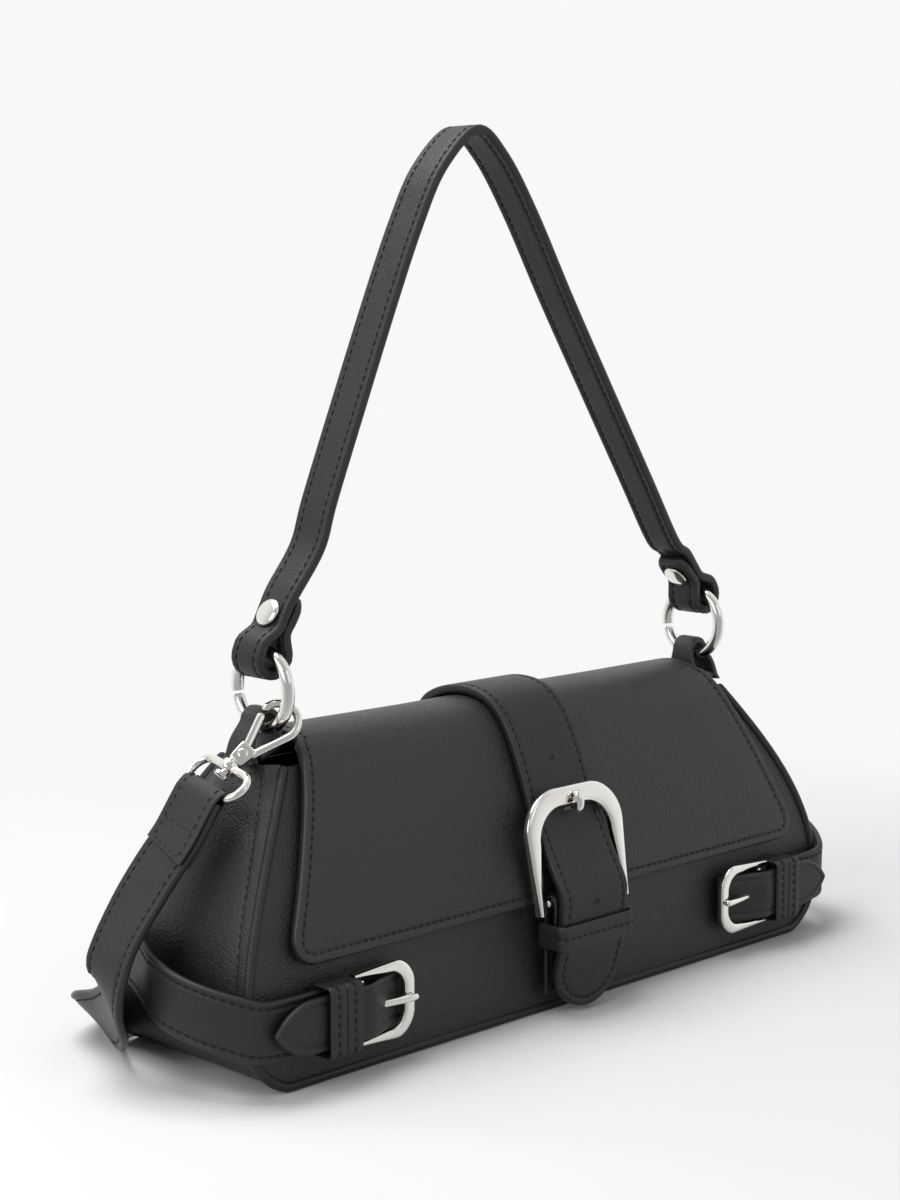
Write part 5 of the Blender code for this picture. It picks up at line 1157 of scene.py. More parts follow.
def frame_outlines(half_width, length, bar, arm, tip, steps=26):
    """Outer and inner edge of a buckle frame from its right tip to the middle of its bar."""
    radius = half_width * 0.62
    turns = np.linspace(0, math.pi / 2, steps)
    inner_radius = radius - arm / 2
    inner_half = half_width - arm
    outer_x = half_width - radius + radius * np.cos(turns)
    outer_y = radius * (np.sin(turns) - 1)
    crown = FRAME_CROWN * (outer_x / half_width) ** 2 * np.sin(turns)
    outer_arc = np.column_stack([outer_x, outer_y - crown])
    inner_x = inner_half - inner_radius + inner_radius * np.cos(turns)
    inner_arc = np.column_stack([inner_x, -bar - inner_radius + inner_radius * np.sin(turns)])
    share = np.linspace(0, 1, steps, endpoint=False)[:, None]
    outer_tip = np.array([half_width - tip, -length])
    inner_tip = outer_tip - (tip, 0)
    outer = np.vstack([outer_tip + share * (outer_arc[0] - outer_tip), outer_arc])
    inner = np.vstack([inner_tip + share * (inner_arc[0] - inner_tip), inner_arc])
    return outer, inner


def buckle_frame(name, place, half_width, length, bar, arm, tip, thickness):
    """Frame with a softly crowned section; place(u, v, w) puts its own axes in space."""
    outer, inner = frame_outlines(half_width, length, bar, arm, tip)
    outer = np.vstack([outer, outer[::-1] * (-1, 1)])
    inner = np.vstack([inner, inner[::-1] * (-1, 1)])
    turns = full_turn(28)
    share = 0.5 - 0.5 * blunt(np.cos(turns), 0.7)
    height = thickness / 2 * blunt(np.sin(turns), 0.55)
    flat = outer[:, None] + share[None, :, None] * (inner - outer)[:, None]
    rings = place(flat[..., 0], flat[..., 1], np.broadcast_to(height, flat.shape[:2]))
    return loft(name, rings, BRIGHT)


def strap_face():
    """Heights and Y of the centre strap's outer face, by rising height."""
    face = centre_line + STRAP_THICKNESS / 2 * right_of(tangents(centre_line))
    face = face[CREST_ROW + 1 :]
    return face[::-1, 1], face[::-1, 0]


def buckle_top():
    """Middle of the buckle's top edge in Y and Z, clear of the strap behind it."""
    heights, face = strap_face()
    needed = []
    rise = BUCKLE_TOP_Z - BUCKLE_AXLE_Z
    drops = (BUCKLE_BAR_WIDTH / 2, BUCKLE_CORNER_DROP)
    for drop, space in zip(drops, (BUCKLE_THICKNESS / 2, BUCKLE_THICKNESS / 3)):
        z = BUCKLE_TOP_Z - drop
        y = float(np.interp(z, heights, face)) - space - SEAM_SPACE
        needed.append(BUCKLE_AXLE_Y + (y - BUCKLE_AXLE_Y) * rise / (z - BUCKLE_AXLE_Z))
    return np.array([min(needed), BUCKLE_TOP_Z])


frame_top = buckle_top()
axle_spot = np.array([BUCKLE_AXLE_Y, BUCKLE_AXLE_Z])
frame_down = unit(axle_spot - frame_top)
frame_out = np.array([-frame_down[1], frame_down[0]])
frame_out = frame_out * -np.sign(frame_out[0])
frame_length = float((axle_spot - frame_top) @ frame_down) + BUCKLE_AXLE_Z - BUCKLE_LOW_Z


def centre_place(u, v, w):
    """Buckle axes: u across, v up along the frame from its top edge, w out of its face."""
    u, v, w = np.broadcast_arrays(u, v, w)
    spot = frame_top - v[..., None] * frame_down + w[..., None] * frame_out
    return np.concatenate([u[..., None], spot], axis=-1)


centre_frame = buckle_frame(
    "centre_buckle_plated", centre_place, BUCKLE_WIDTH / 2, frame_length, BUCKLE_BAR_WIDTH,
    BUCKLE_ARM_WIDTH, BUCKLE_ARM_TIP_WIDTH, BUCKLE_THICKNESS,
)
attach(centre_frame, "flap")
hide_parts("centre_buckle_frame")


def prong(name, points, radius, guide, body, node):
    """Bullet-shaped prong along a smooth line from its axle through the strap and over the bar."""
    made = rounded_tube(name, spline(np.array(points), 14), radius, guide, BRIGHT, 20, step=0.0005)
    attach(made, body)
    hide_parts(node)


seat = BUCKLE_THICKNESS / 2 + SEAM_SPACE + PRONG_RADIUS
axle_point = np.array([0.0, *axle_spot])
prong_z = BUCKLE_TOP_Z - 2 * BUCKLE_BAR_WIDTH
prong(
    "centre_prong_plated",
    [
        axle_point + (0, 0, BUCKLE_AXLE_RADIUS + SEAM_SPACE),
        np.array([0.0, centre_y_at(prong_z) + STRAP_THICKNESS, prong_z]),
        centre_place(0.0, -BUCKLE_BAR_WIDTH - PRONG_RADIUS, seat),
        centre_place(0.0, -BUCKLE_BAR_WIDTH * 0.3, seat),
    ],
    PRONG_RADIUS * PRONG_SHARE,
    (1, 0, 0),
    "centre_prong",
    "centre_buckle_prong",
)


def cross_pin(name, middle, reach, radius, guide, material):
    """Straight round pin that reaches equally far both ways from its middle."""
    return rounded_tube(name, [middle - reach, middle + reach], radius, guide, material)


axle_reach = np.array([BUCKLE_WIDTH / 2 - BUCKLE_ARM_WIDTH, 0, 0])
centre_axle = cross_pin("centre_axle_plated", axle_point, axle_reach, BUCKLE_AXLE_RADIUS, (0, 1, 0), BRIGHT)
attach(centre_axle, "flap")
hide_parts("centre_buckle_bar")


# Side belts
# On each side a belt starts at the back seam, bows out round the gusset and is folded round
# the axle of a small buckle on the front. A short pointed billet runs through buckle and keeper.
BELT_HEIGHT = 0.018
BELT_THICKNESS = 0.0022
BELT_Z = 0.020
BELT_PANEL_Y = -0.0345
BELT_LOOP_THICKNESS = 0.001
BELT_BOW = 0.012
BELT_RISE = 0.014
BILLET_HEIGHT = 0.016
BILLET_THICKNESS = 0.0021
BILLET_TIP_X = 0.127
BILLET_POINT = 0.0135
SMALL_BUCKLE_HEIGHT = 0.0235
SMALL_BUCKLE_INNER_X = 0.0715
SMALL_BUCKLE_OUTER_X = 0.0956
SMALL_BAR_WIDTH = 0.0042
SMALL_ARM_WIDTH = 0.0030
SMALL_ARM_TIP_WIDTH = 0.0010
SMALL_FRAME_THICKNESS = 0.0022
SMALL_AXLE_RADIUS = 0.0009
SMALL_AXLE_X = 0.0925
SMALL_AXLE_Y = -0.0385
SMALL_PRONG_RADIUS = 0.0009
SMALL_KEEPER_X = 0.1025
SMALL_KEEPER_LENGTH = 0.0125
SMALL_KEEPER_THICKNESS = 0.0011
BELT_SEAM = 0.0022
BELT_RIM = 0.0009
BELT_SEAM_START = 0.004
BILLET_SEAM_START = 0.001
SMALL_PRONG_SHARE = 1.25
BELT_FRONT_SHARES = (0.123, 0.389, 0.677)
BELT_BOW_SHARES = (
    (-0.23, -1.07, 0.04), (0.23, -0.965, 0.17), (0.72, -0.73, 0.36), (0.98, -0.46, 0.55),
    (0.94, -0.17, 0.73), (0.62, 0.12, 0.86), (0.31, 0.41, 0.95), (0.18, 0.66, 1.0), (0.17, 0.84, 1.0),
)


def belt_line():
    """Belt from its fold at the buckle along the front, then round the gusset to the back seam."""
    radius = SMALL_AXLE_RADIUS + SEAM_SPACE + BELT_LOOP_THICKNESS / 2
    keeper_start = SMALL_KEEPER_X - SMALL_KEEPER_LENGTH / 2
    belt_y = BELT_PANEL_Y - 2 * SEAM_SPACE - SMALL_KEEPER_THICKNESS - BELT_THICKNESS / 2
    flat = [(SMALL_AXLE_X + 0.001, SMALL_AXLE_Y - radius + BELT_THICKNESS / 4), (keeper_start, belt_y)]
    span = BASE_HALF_WIDTH + BELT_BOW_SHARES[0][0] * BELT_BOW - keeper_start
    flat += [(keeper_start + share * span, belt_y) for share in BELT_FRONT_SHARES]
    points = [(x, y, BELT_Z) for x, y in flat]
    for x_share, y_share, z_share in BELT_BOW_SHARES:
        x = BASE_HALF_WIDTH + x_share * BELT_BOW
        points.append((x, y_share * BASE_HALF_DEPTH, BELT_Z + z_share * BELT_RISE))
    return spline(points, 12)


def billet_line():
    """Billet from its root under the buckle over the axle and through the keeper."""
    half = BILLET_THICKNESS / 2
    root_y = BELT_PANEL_Y - 2 * SEAM_SPACE - half
    over_y = SMALL_AXLE_Y - SMALL_AXLE_RADIUS - 2 * SEAM_SPACE - BELT_LOOP_THICKNESS - half
    end_y = over_y + BILLET_THICKNESS / 2
    root_x = SMALL_BUCKLE_INNER_X + SMALL_BAR_WIDTH / 2
    points = [(root_x, root_y), (root_x + SMALL_BAR_WIDTH, root_y)]
    points += [(SMALL_AXLE_X - SMALL_AXLE_RADIUS * 2, over_y), (SMALL_AXLE_X + SMALL_AXLE_RADIUS, over_y)]
    points += [(SMALL_KEEPER_X, end_y), ((SMALL_KEEPER_X + BILLET_TIP_X) / 2, end_y), (BILLET_TIP_X, end_y)]
    line = spline(points, 12)
    return np.column_stack([line, np.full(len(line), BELT_Z)])


def pointed_half(total):
    """Half width of the billet: full, then * (1 - left^1.9)^0.8 over the length of its point."""

    def half(s):
        left = np.clip(1 - (total - np.asarray(s, float)) / BILLET_POINT, 0, 1)
        return BILLET_HEIGHT / 2 * (1 - left**1.9) ** 0.8

    return half


for side, word in SIDES:
    mirror = np.array([side, 1, 1])
    belt_path = strap_path(belt_line() * mirror, (0.0, 0.0, -float(side)))
    belt_half = even_half(BELT_HEIGHT)
    belt = strap(
        word + "_belt_leather", belt_path, belt_half, BELT_THICKNESS, STRAP_LEATHER, (True, False),
        BELT_SEAM, BELT_RIM,
    )
    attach(belt, "bag")
    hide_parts(word + "_belt")
    belt_seam = border(belt_half, BELT_SEAM, BELT_SEAM_START, belt_path["s"][-1], around=False)
    belt_threads = sew(word + "_belt_stitches", belt_path, belt_seam, BELT_THICKNESS, (1, -1))
    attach(belt_threads, "bag")

    billet_front = billet_line()
    billet_path = strap_path(billet_front * mirror, (0.0, 0.0, -float(side)))
    billet_total = billet_path["s"][-1]
    billet_half = pointed_half(billet_total)
    billet = strap(
        word + "_billet_leather", billet_path, billet_half, BILLET_THICKNESS, STRAP_LEATHER,
        (True, True), BELT_SEAM, BELT_RIM, tip=BILLET_POINT,
    )
    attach(billet, "bag")
    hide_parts(word + "_billet")
    billet_seam = border(billet_half, BELT_SEAM, BILLET_SEAM_START, billet_total)
    billet_threads = sew(word + "_billet_stitches", billet_path, billet_seam, BILLET_THICKNESS)
    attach(billet_threads, "bag")

    back_face_y = BELT_PANEL_Y - SEAM_SPACE - SMALL_KEEPER_THICKNESS / 2
    keeper_edge = SMALL_KEEPER_X - SMALL_KEEPER_LENGTH / 2
    billet_y = float(np.interp(keeper_edge, billet_front[:, 0], billet_front[:, 1]))
    front_face_y = billet_y - BILLET_THICKNESS / 2 - SEAM_SPACE - SMALL_KEEPER_THICKNESS / 2
    keeper_half_z = BELT_HEIGHT / 2 + 2 * SEAM_SPACE + SMALL_KEEPER_THICKNESS / 2
    for half_name, shift in (("inner", -0.25), ("outer", 0.25)):
        keeper_x = side * (SMALL_KEEPER_X + shift * SMALL_KEEPER_LENGTH)
        keeper(
            word + "_belt_keeper_" + half_name,
            np.array([keeper_x, (back_face_y + front_face_y) / 2, BELT_Z]), (0, 1, 0), (0, 0, 1),
            (1, 0, 0), (back_face_y - front_face_y) / 2, keeper_half_z, SMALL_KEEPER_LENGTH * 0.49,
            SMALL_KEEPER_THICKNESS, "bag", word + "_belt_keeper",
        )

    def small_place(u, v, w, side=side):
        """Small buckle axes: u up, v towards the middle of the bag, w out of its face."""
        u, v, w = np.broadcast_arrays(u, v, w)
        return np.stack([side * (SMALL_BUCKLE_INNER_X - v), SMALL_AXLE_Y - w, BELT_Z + u], axis=-1)

    small_length = SMALL_BUCKLE_OUTER_X - SMALL_BUCKLE_INNER_X
    small_frame = buckle_frame(
        word + "_buckle_plated", small_place, SMALL_BUCKLE_HEIGHT / 2, small_length, SMALL_BAR_WIDTH,
        SMALL_ARM_WIDTH, SMALL_ARM_TIP_WIDTH, SMALL_FRAME_THICKNESS,
    )
    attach(small_frame, "bag")
    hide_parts(word + "_buckle_frame")
    small_axle = np.array([side * SMALL_AXLE_X, SMALL_AXLE_Y, BELT_Z])
    small_reach = np.array([0, 0, SMALL_BUCKLE_HEIGHT / 2 - SMALL_ARM_WIDTH])
    axle = cross_pin(word + "_axle_plated", small_axle, small_reach, SMALL_AXLE_RADIUS, (1, 0, 0), BRIGHT)
    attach(axle, "bag")
    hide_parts(word + "_buckle_bar")
    small_seat = SMALL_FRAME_THICKNESS / 2 + SEAM_SPACE + SMALL_PRONG_RADIUS
    prong(
        word + "_prong_plated",
        [
            small_axle - (side * (SMALL_AXLE_RADIUS + SEAM_SPACE), 0, 0),
            small_place(0.0, -SMALL_BAR_WIDTH - SMALL_PRONG_RADIUS, small_seat),
            small_place(0.0, -SMALL_PRONG_RADIUS / 2, small_seat),
        ],
        SMALL_PRONG_RADIUS * SMALL_PRONG_SHARE,
        (0, 0, 1),
        word + "_prong",
        word + "_buckle_prong",
    )


# Rings and tabs
# A tongue of leather rises from the top of each gusset, wraps a spring-gate ring and is sewn
# down inside. The ring's gate turns on a cross pin and springs shut.
RING_X = 0.0985
RING_Y = -0.003
RING_Z = 0.110
RING_RADIUS = 0.0115
RING_WIRE_RADIUS = 0.002
GATE_START_DEG = 100
GATE_END_DEG = 133
GATE_SLANT_DEG = 6
GATE_ROUND_DEG = 7
GATE_PIN_DEG = 6
GATE_PIN_RADIUS = 0.0005
TAB_LEATHER = 0.0021
TAB_CREST_WIDTH = 0.0084
TAB_FOOT_WIDTH = 0.0155
TAB_SHIFT = 0.0013
TAB_RIM = 0.0009


def ring_points(centre, degrees):
    """Points of a ring; the angle runs from its top towards the back of the bag."""
    turn = np.radians(np.atleast_1d(degrees))
    return centre + RING_RADIUS * np.column_stack([0 * turn, np.sin(turn), np.cos(turn)])


def slanted(rings, centre, reach):
    """End sections moved along the ring until each point is one distance from the gate's pivot.

    Turn = start of the gate + arc cosine of (ring radius² + r² - reach²) / (2 ring radius r).
    """
    away = rings - centre
    r = np.hypot(away[..., 1], away[..., 2])
    turn = np.arccos((RING_RADIUS**2 + r**2 - reach**2) / (2 * RING_RADIUS * r))
    turn = turn + math.radians(GATE_START_DEG)
    return centre + np.stack([away[..., 0], r * np.sin(turn), r * np.cos(turn)], axis=-1)


def tab_line():
    """Tongue in X and Z: up from the gusset, over the ring's wire and down inside."""
    half = TAB_LEATHER / 2
    radius = RING_WIRE_RADIUS + 2 * SEAM_SPACE + half
    sag = RING_RADIUS - math.sqrt(RING_RADIUS**2 - (TAB_CREST_WIDTH / 2 + TAB_SHIFT) ** 2)
    crest_z = RING_Z - RING_RADIUS + sag + SEAM_SPACE
    foot_x = TOP_HALF_WIDTH + GUSSET_BULGE - half
    foot_z = SHELL_HEIGHT + 2 * SEAM_SPACE
    inner_x = foot_x - TAB_LEATHER - SEAM_SPACE
    turns = np.radians(np.linspace(0, 180, 25))
    loop = np.column_stack([RING_X + radius * np.cos(turns), crest_z + radius * np.sin(turns)])
    outer = spline([(foot_x, foot_z), (foot_x - half / 2, (foot_z + crest_z) / 2), loop[0]], 10)
    waist_z = RING_Z - RING_RADIUS - RING_WIRE_RADIUS - 2 * SEAM_SPACE - TAB_LEATHER
    waist = (RING_X - radius + half / 2, waist_z)
    inner = spline([loop[-1], waist, (inner_x, foot_z + TAB_LEATHER / 2)], 10)
    return np.vstack([outer[:-1], loop, inner[1:]]), foot_z, crest_z


for side, word in SIDES:
    ring_centre = np.array([side * RING_X, RING_Y, RING_Z])
    half_gap = math.degrees(SEAM_SPACE / RING_RADIUS)
    gate_reach = 2 * RING_RADIUS * math.sin(math.radians(GATE_END_DEG - GATE_START_DEG) / 2)
    ring_turns = np.linspace(GATE_END_DEG + GATE_SLANT_DEG, GATE_START_DEG + 360 - half_gap, 160)
    ring_rings = tube_rings(ring_points(ring_centre, ring_turns), RING_WIRE_RADIUS, (1, 0, 0), 24)
    ring_rings = np.concatenate([slanted(ring_rings[:1], ring_centre, gate_reach + SEAM_SPACE), ring_rings])
    ring = loft(word + "_ring_plated", ring_rings, BRIGHT)
    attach(ring, "bag")
    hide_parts(word + "_ring")
    gate_turns = np.linspace(GATE_START_DEG + GATE_ROUND_DEG, GATE_END_DEG - GATE_SLANT_DEG, 30)
    gate_rings = tube_rings(ring_points(ring_centre, gate_turns), RING_WIRE_RADIUS * 0.97, (1, 0, 0), 24)
    gate_rings = np.concatenate([gate_rings, slanted(gate_rings[-1:], ring_centre, gate_reach)])
    gate = loft(word + "_ring_gate_plated", gate_rings, BRIGHT)
    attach(gate, word + "_ring_gate")
    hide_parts(word + "_ring_gate")
    pin_middle = ring_points(ring_centre, GATE_START_DEG + GATE_PIN_DEG)[0]
    pin_reach = np.array([RING_WIRE_RADIUS, 0, 0])
    pin = cross_pin(word + "_ring_pin_plated", pin_middle, pin_reach, GATE_PIN_RADIUS, (0, 1, 0), SATIN)
    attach(pin, "bag")
    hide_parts(word + "_ring_pin")

    line, foot_z, crest_z = tab_line()
    tongue = np.column_stack([side * line[:, 0], np.full(len(line), RING_Y + TAB_SHIFT), line[:, 1]])
    tongue_path = strap_path(tongue, (0.0, -float(side), 0.0))

    def tongue_half(s, path=tongue_path, low=foot_z, high=crest_z):
        """Half width: wide at the feet, narrow over the ring, along a square root."""
        z = np.interp(s, path["s"], path["p"][:, 2])
        share = np.clip((z - low) / (high - low), 0, 1)
        return (TAB_FOOT_WIDTH + (TAB_CREST_WIDTH - TAB_FOOT_WIDTH) * np.sqrt(share)) / 2

    tab = strap(
        word + "_tab_leather", tongue_path, tongue_half, TAB_LEATHER, BODY_LEATHER, (False, False), 0,
        TAB_RIM,
    )
    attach(tab, "bag")
    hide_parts(word + "_tab")


# Handle
# One doubled strap, folded back round each ring and held by a rivet with a domed cap.
HANDLE_WIDTH = 0.0142
HANDLE_LOOP_WIDTH = 0.013
HANDLE_THICKNESS = 0.003
HANDLE_RISE = 0.153
HANDLE_FOLD_LENGTH = 0.018
HANDLE_NARROW_LENGTH = 0.008
HANDLE_WIDEN_LENGTH = 0.012
HANDLE_END_LENGTH = 0.005
HANDLE_SEAM_START = 0.0015
LOOP_SLACK = 0.0010
RIVET_DISTANCE = 0.0105
RIVET_HEAD_RADIUS = 0.0043
RIVET_HEAD_HEIGHT = 0.0016
HANDLE_SHARES = (
    (-0.820, 0.190), (-0.769, 0.279), (-0.645, 0.469), (-0.516, 0.663), (-0.411, 0.810),
    (-0.310, 0.922), (-0.162, 1.0), (-0.041, 0.954), (0.096, 0.840), (0.271, 0.662), (0.493, 0.446),
    (0.690, 0.255), (0.827, 0.122),
)


def leg_frame(side):
    """Direction up a handle leg from its ring, and outwards across it, in X and Z."""
    first = HANDLE_SHARES[0] if side < 0 else HANDLE_SHARES[-1]
    target = np.array([first[0] * RING_X, RING_Z + RING_RADIUS + first[1] * HANDLE_RISE])
    along = unit(target - np.array([side * RING_X, RING_Z + RING_RADIUS]))
    outward = np.array([along[1], -along[0]]) * side
    return along, outward * np.sign(outward[0] * side)


def leg_point(side, out, up):
    """Point of a handle leg in X and Z from its ring's top wire."""
    along, outward = leg_frame(side)
    return np.array([side * RING_X, RING_Z + RING_RADIUS]) + outward * out + along * up


def handle_end(side):
    """Fold-back, loop round the ring and first stretch of one end of the handle."""
    half = HANDLE_THICKNESS / 2
    bore = RING_WIRE_RADIUS + SEAM_SPACE
    drop = RING_RADIUS - math.sqrt(RING_RADIUS**2 - (HANDLE_LOOP_WIDTH / 2) ** 2)
    along, outward = leg_frame(side)
    shift = drop * outward[1]
    sag = drop * along[1]
    radius = RING_WIRE_RADIUS + shift / 2 + LOOP_SLACK + half
    middle = -shift / 2
    layer = half + SEAM_SPACE / 2
    neck = RIVET_DISTANCE - RIVET_HEAD_RADIUS
    heights = (HANDLE_FOLD_LENGTH, RIVET_DISTANCE, neck)
    points = [(-layer, up) for up in heights]
    points.append((middle - radius, bore / 2))
    turns = np.radians(np.linspace(0, 180, 9))
    points += [(middle - radius * math.cos(t), -sag - radius * math.sin(t)) for t in turns]
    points.append((middle + radius, bore / 2))
    points += [(layer, up) for up in heights[::-1]]
    return np.array([leg_point(side, out, up) for out, up in points])


left_end = handle_end(-1)
right_end = handle_end(1)[::-1]
handle_main = np.array(HANDLE_SHARES) * (RING_X, HANDLE_RISE) + (0, RING_Z + RING_RADIUS)
handle_line = np.insert(spline(np.vstack([left_end, handle_main, right_end]), 8), 1, RING_Y, axis=1)
handle_path = strap_path(handle_line, (0.0, 1.0, 0.0))
handle_length = handle_path["s"][-1]
loop_length = run_lengths(left_end)[-1]


def handle_half(s):
    """Half width: narrow round the ring, full along the grip, drawn in by 0.35 at its cut end."""
    near = np.minimum(s, handle_length - s)
    inner = HANDLE_LOOP_WIDTH / 2
    full = HANDLE_WIDTH / 2
    grow = np.clip((near - loop_length + HANDLE_NARROW_LENGTH) / HANDLE_WIDEN_LENGTH, 0, 1)
    width = inner + (full - inner) * grow * grow * (3 - 2 * grow)
    left = np.clip(1 - near / HANDLE_END_LENGTH, 0, 1)
    return width * (1 - 0.35 * left**2)


handle = strap(
    "handle_leather", handle_path, handle_half, HANDLE_THICKNESS, STRAP_LEATHER, (True, True),
    STRAP_SEAM, STRAP_RIM,
)
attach(handle, "handle")
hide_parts("handle_strap")
seam_stop = handle_length - HANDLE_SEAM_START
handle_seam = border(handle_half, STRAP_SEAM, HANDLE_SEAM_START, seam_stop, around=False)
handle_threads = sew("handle_stitches", handle_path, handle_seam, HANDLE_THICKNESS, (1, -1))
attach(handle_threads, "handle")


def turned(name, base, direction, distances, radii, material, sides=40):
    """Round piece: circles of the given radii at distances along an axis, closed at a point."""
    direction = unit(direction)
    helper = np.array([0.0, 1.0, 0.0]) if abs(direction[1]) < 0.7 else np.array([0.0, 0.0, 1.0])
    first = unit(np.cross(direction, helper))
    second = np.cross(direction, first)
    turns = full_turn(sides)
    circle = np.cos(turns)[:, None] * first + np.sin(turns)[:, None] * second
    distances = np.concatenate([distances[:1], distances, distances[-1:]])
    radii = np.concatenate([[0.0], radii, [0.0]])
    rings = base + distances[:, None, None] * direction + radii[:, None, None] * circle[None]
    return loft(name, rings, material)


def dome(start, height, radius, steps=10):
    """Distances and radii of a flat dome: a short wall, then a quarter ellipse."""
    wall = np.array([0.0, 0.25]) * height
    angle = np.linspace(0, math.pi / 2, steps)
    distances = np.concatenate([wall, height * (0.25 + 0.75 * np.sin(angle))])
    radii = np.concatenate([[radius * 0.96, radius], radius * np.cos(angle)])
    return start + distances, radii


for side, word in SIDES:
    outward = leg_frame(side)[1]
    middle = leg_point(side, 0.0, RIVET_DISTANCE)
    rivet_base = np.array([middle[0], RING_Y, middle[1]])
    rivet_out = np.array([outward[0], 0.0, outward[1]])
    under = HANDLE_THICKNESS + SEAM_SPACE * 1.5
    head_at, head_radii = dome(under, RIVET_HEAD_HEIGHT, RIVET_HEAD_RADIUS)
    head = turned(word + "_rivet_plated", rivet_base, rivet_out, head_at, head_radii, BRIGHT)
    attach(head, "handle")
    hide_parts(word + "_rivet")
    cap = turned(word + "_rivet_cap_plated", rivet_base, -rivet_out, head_at, head_radii, BRIGHT)
    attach(cap, "handle")
    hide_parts(word + "_rivet_cap")


# Snap hooks
# A cast hook: a riveted plate, two arms that open to a round eye, one of them the sprung gate,
# and a barrel in which a wire loop for the strap turns.
HOOK_LENGTH = 0.018
HOOK_EYE_RADIUS = 0.0056
HOOK_WIRE_RADIUS = 0.00125
HOOK_PLATE_LENGTH = 0.0065
HOOK_PLATE_HALF_WIDTH = 0.0029
HOOK_PLATE_THICKNESS = 0.0034
HOOK_PIN_HEAD_RADIUS = 0.0015
HOOK_PIN_HEAD = 0.0004
HOOK_PIN_SETBACK = 0.0033
HOOK_POST_RADIUS = 0.0012
HOOK_POST_LENGTH = 0.0062
HOOK_POST_HEAD_RADIUS = 0.0022
HOOK_POST_HEAD = 0.0012
HOOK_POST_ROOT = 0.001
HOOK_POST_BEVEL = 0.0002
HOOK_NOSE_DEG = -98
HOOK_RING_DEG = -131
SWIVEL_WIRE_RADIUS = 0.0012
SWIVEL_COLLAR_RADIUS = 0.0029
SWIVEL_COLLAR_LENGTH = 0.0034
SWIVEL_HALF_WIDTH = 0.0122
SWIVEL_HALF_HEIGHT = 0.0047
SWIVEL_CORNER = 0.0044
LEFT_HOOK_ALONG = (0.79, -0.17, 0.59)
LEFT_HOOK_NORMAL = (0.425, 0.695, -0.58)
LONG_STRAP_END = (0.00638462, 0.048, 0.0318)
LONG_STRAP_END_GAP = 0.0015
LEFT_STRAP_ACROSS = (0.12, 0.98, 0.16)


def hook_frames():
    """Start of the plate and the axes along, across and normal of both hooks."""
    along = unit(LEFT_HOOK_ALONG)
    normal = unit(np.array(LEFT_HOOK_NORMAL) - along * np.dot(LEFT_HOOK_NORMAL, along))
    wire = ring_points(np.array([-RING_X, RING_Y, RING_Z]), HOOK_RING_DEG)[0]
    turn = math.radians(HOOK_RING_DEG)
    ring_way = np.array([0.0, math.cos(turn), -math.sin(turn)])
    slack = HOOK_EYE_RADIUS - HOOK_WIRE_RADIUS - RING_WIRE_RADIUS / abs(normal @ ring_way) - 2 * SEAM_SPACE
    start = wire - along * (HOOK_LENGTH + slack)
    reach = 2 * SWIVEL_HALF_HEIGHT + SWIVEL_COLLAR_LENGTH / 2 + SEAM_SPACE
    right_start = np.array(LONG_STRAP_END) + np.array([reach + LONG_STRAP_END_GAP, 0, 0])
    right_along = np.array([1.0, 0.0, 0.0])
    right_normal = np.array([0.0, 0.0, -1.0])
    right_across = np.cross(right_normal, right_along)
    left = (start, along, np.cross(normal, along), normal, np.array(LEFT_STRAP_ACROSS))
    right = (right_start, right_along, right_across, right_normal, np.array([0.0, 1.0, 0.0]))
    return {"left": left, "right": right}


def hook_plate(name, place):
    """Riveted plate: a tapered rounded block, cut as rounded sections from end to end."""
    stations = np.array([0.0, 0.02, 0.08, 0.2, 0.5, 0.8, 0.92, 0.98, 1.0])
    inset = np.array([0.75, 0.88, 0.97, 1.0, 1.0, 1.0, 0.97, 0.88, 0.75])
    half = HOOK_PLATE_HALF_WIDTH * (0.8 + 0.2 * stations) * inset
    thick = HOOK_PLATE_THICKNESS / 2 * inset
    turns = full_turn(32)
    w = half[:, None] * blunt(np.cos(turns), 0.3)
    v = thick[:, None] * blunt(np.sin(turns), 0.3)
    u = np.broadcast_to(stations[:, None] * HOOK_PLATE_LENGTH, w.shape)
    return loft(name, place(u, w, v), BRIGHT)


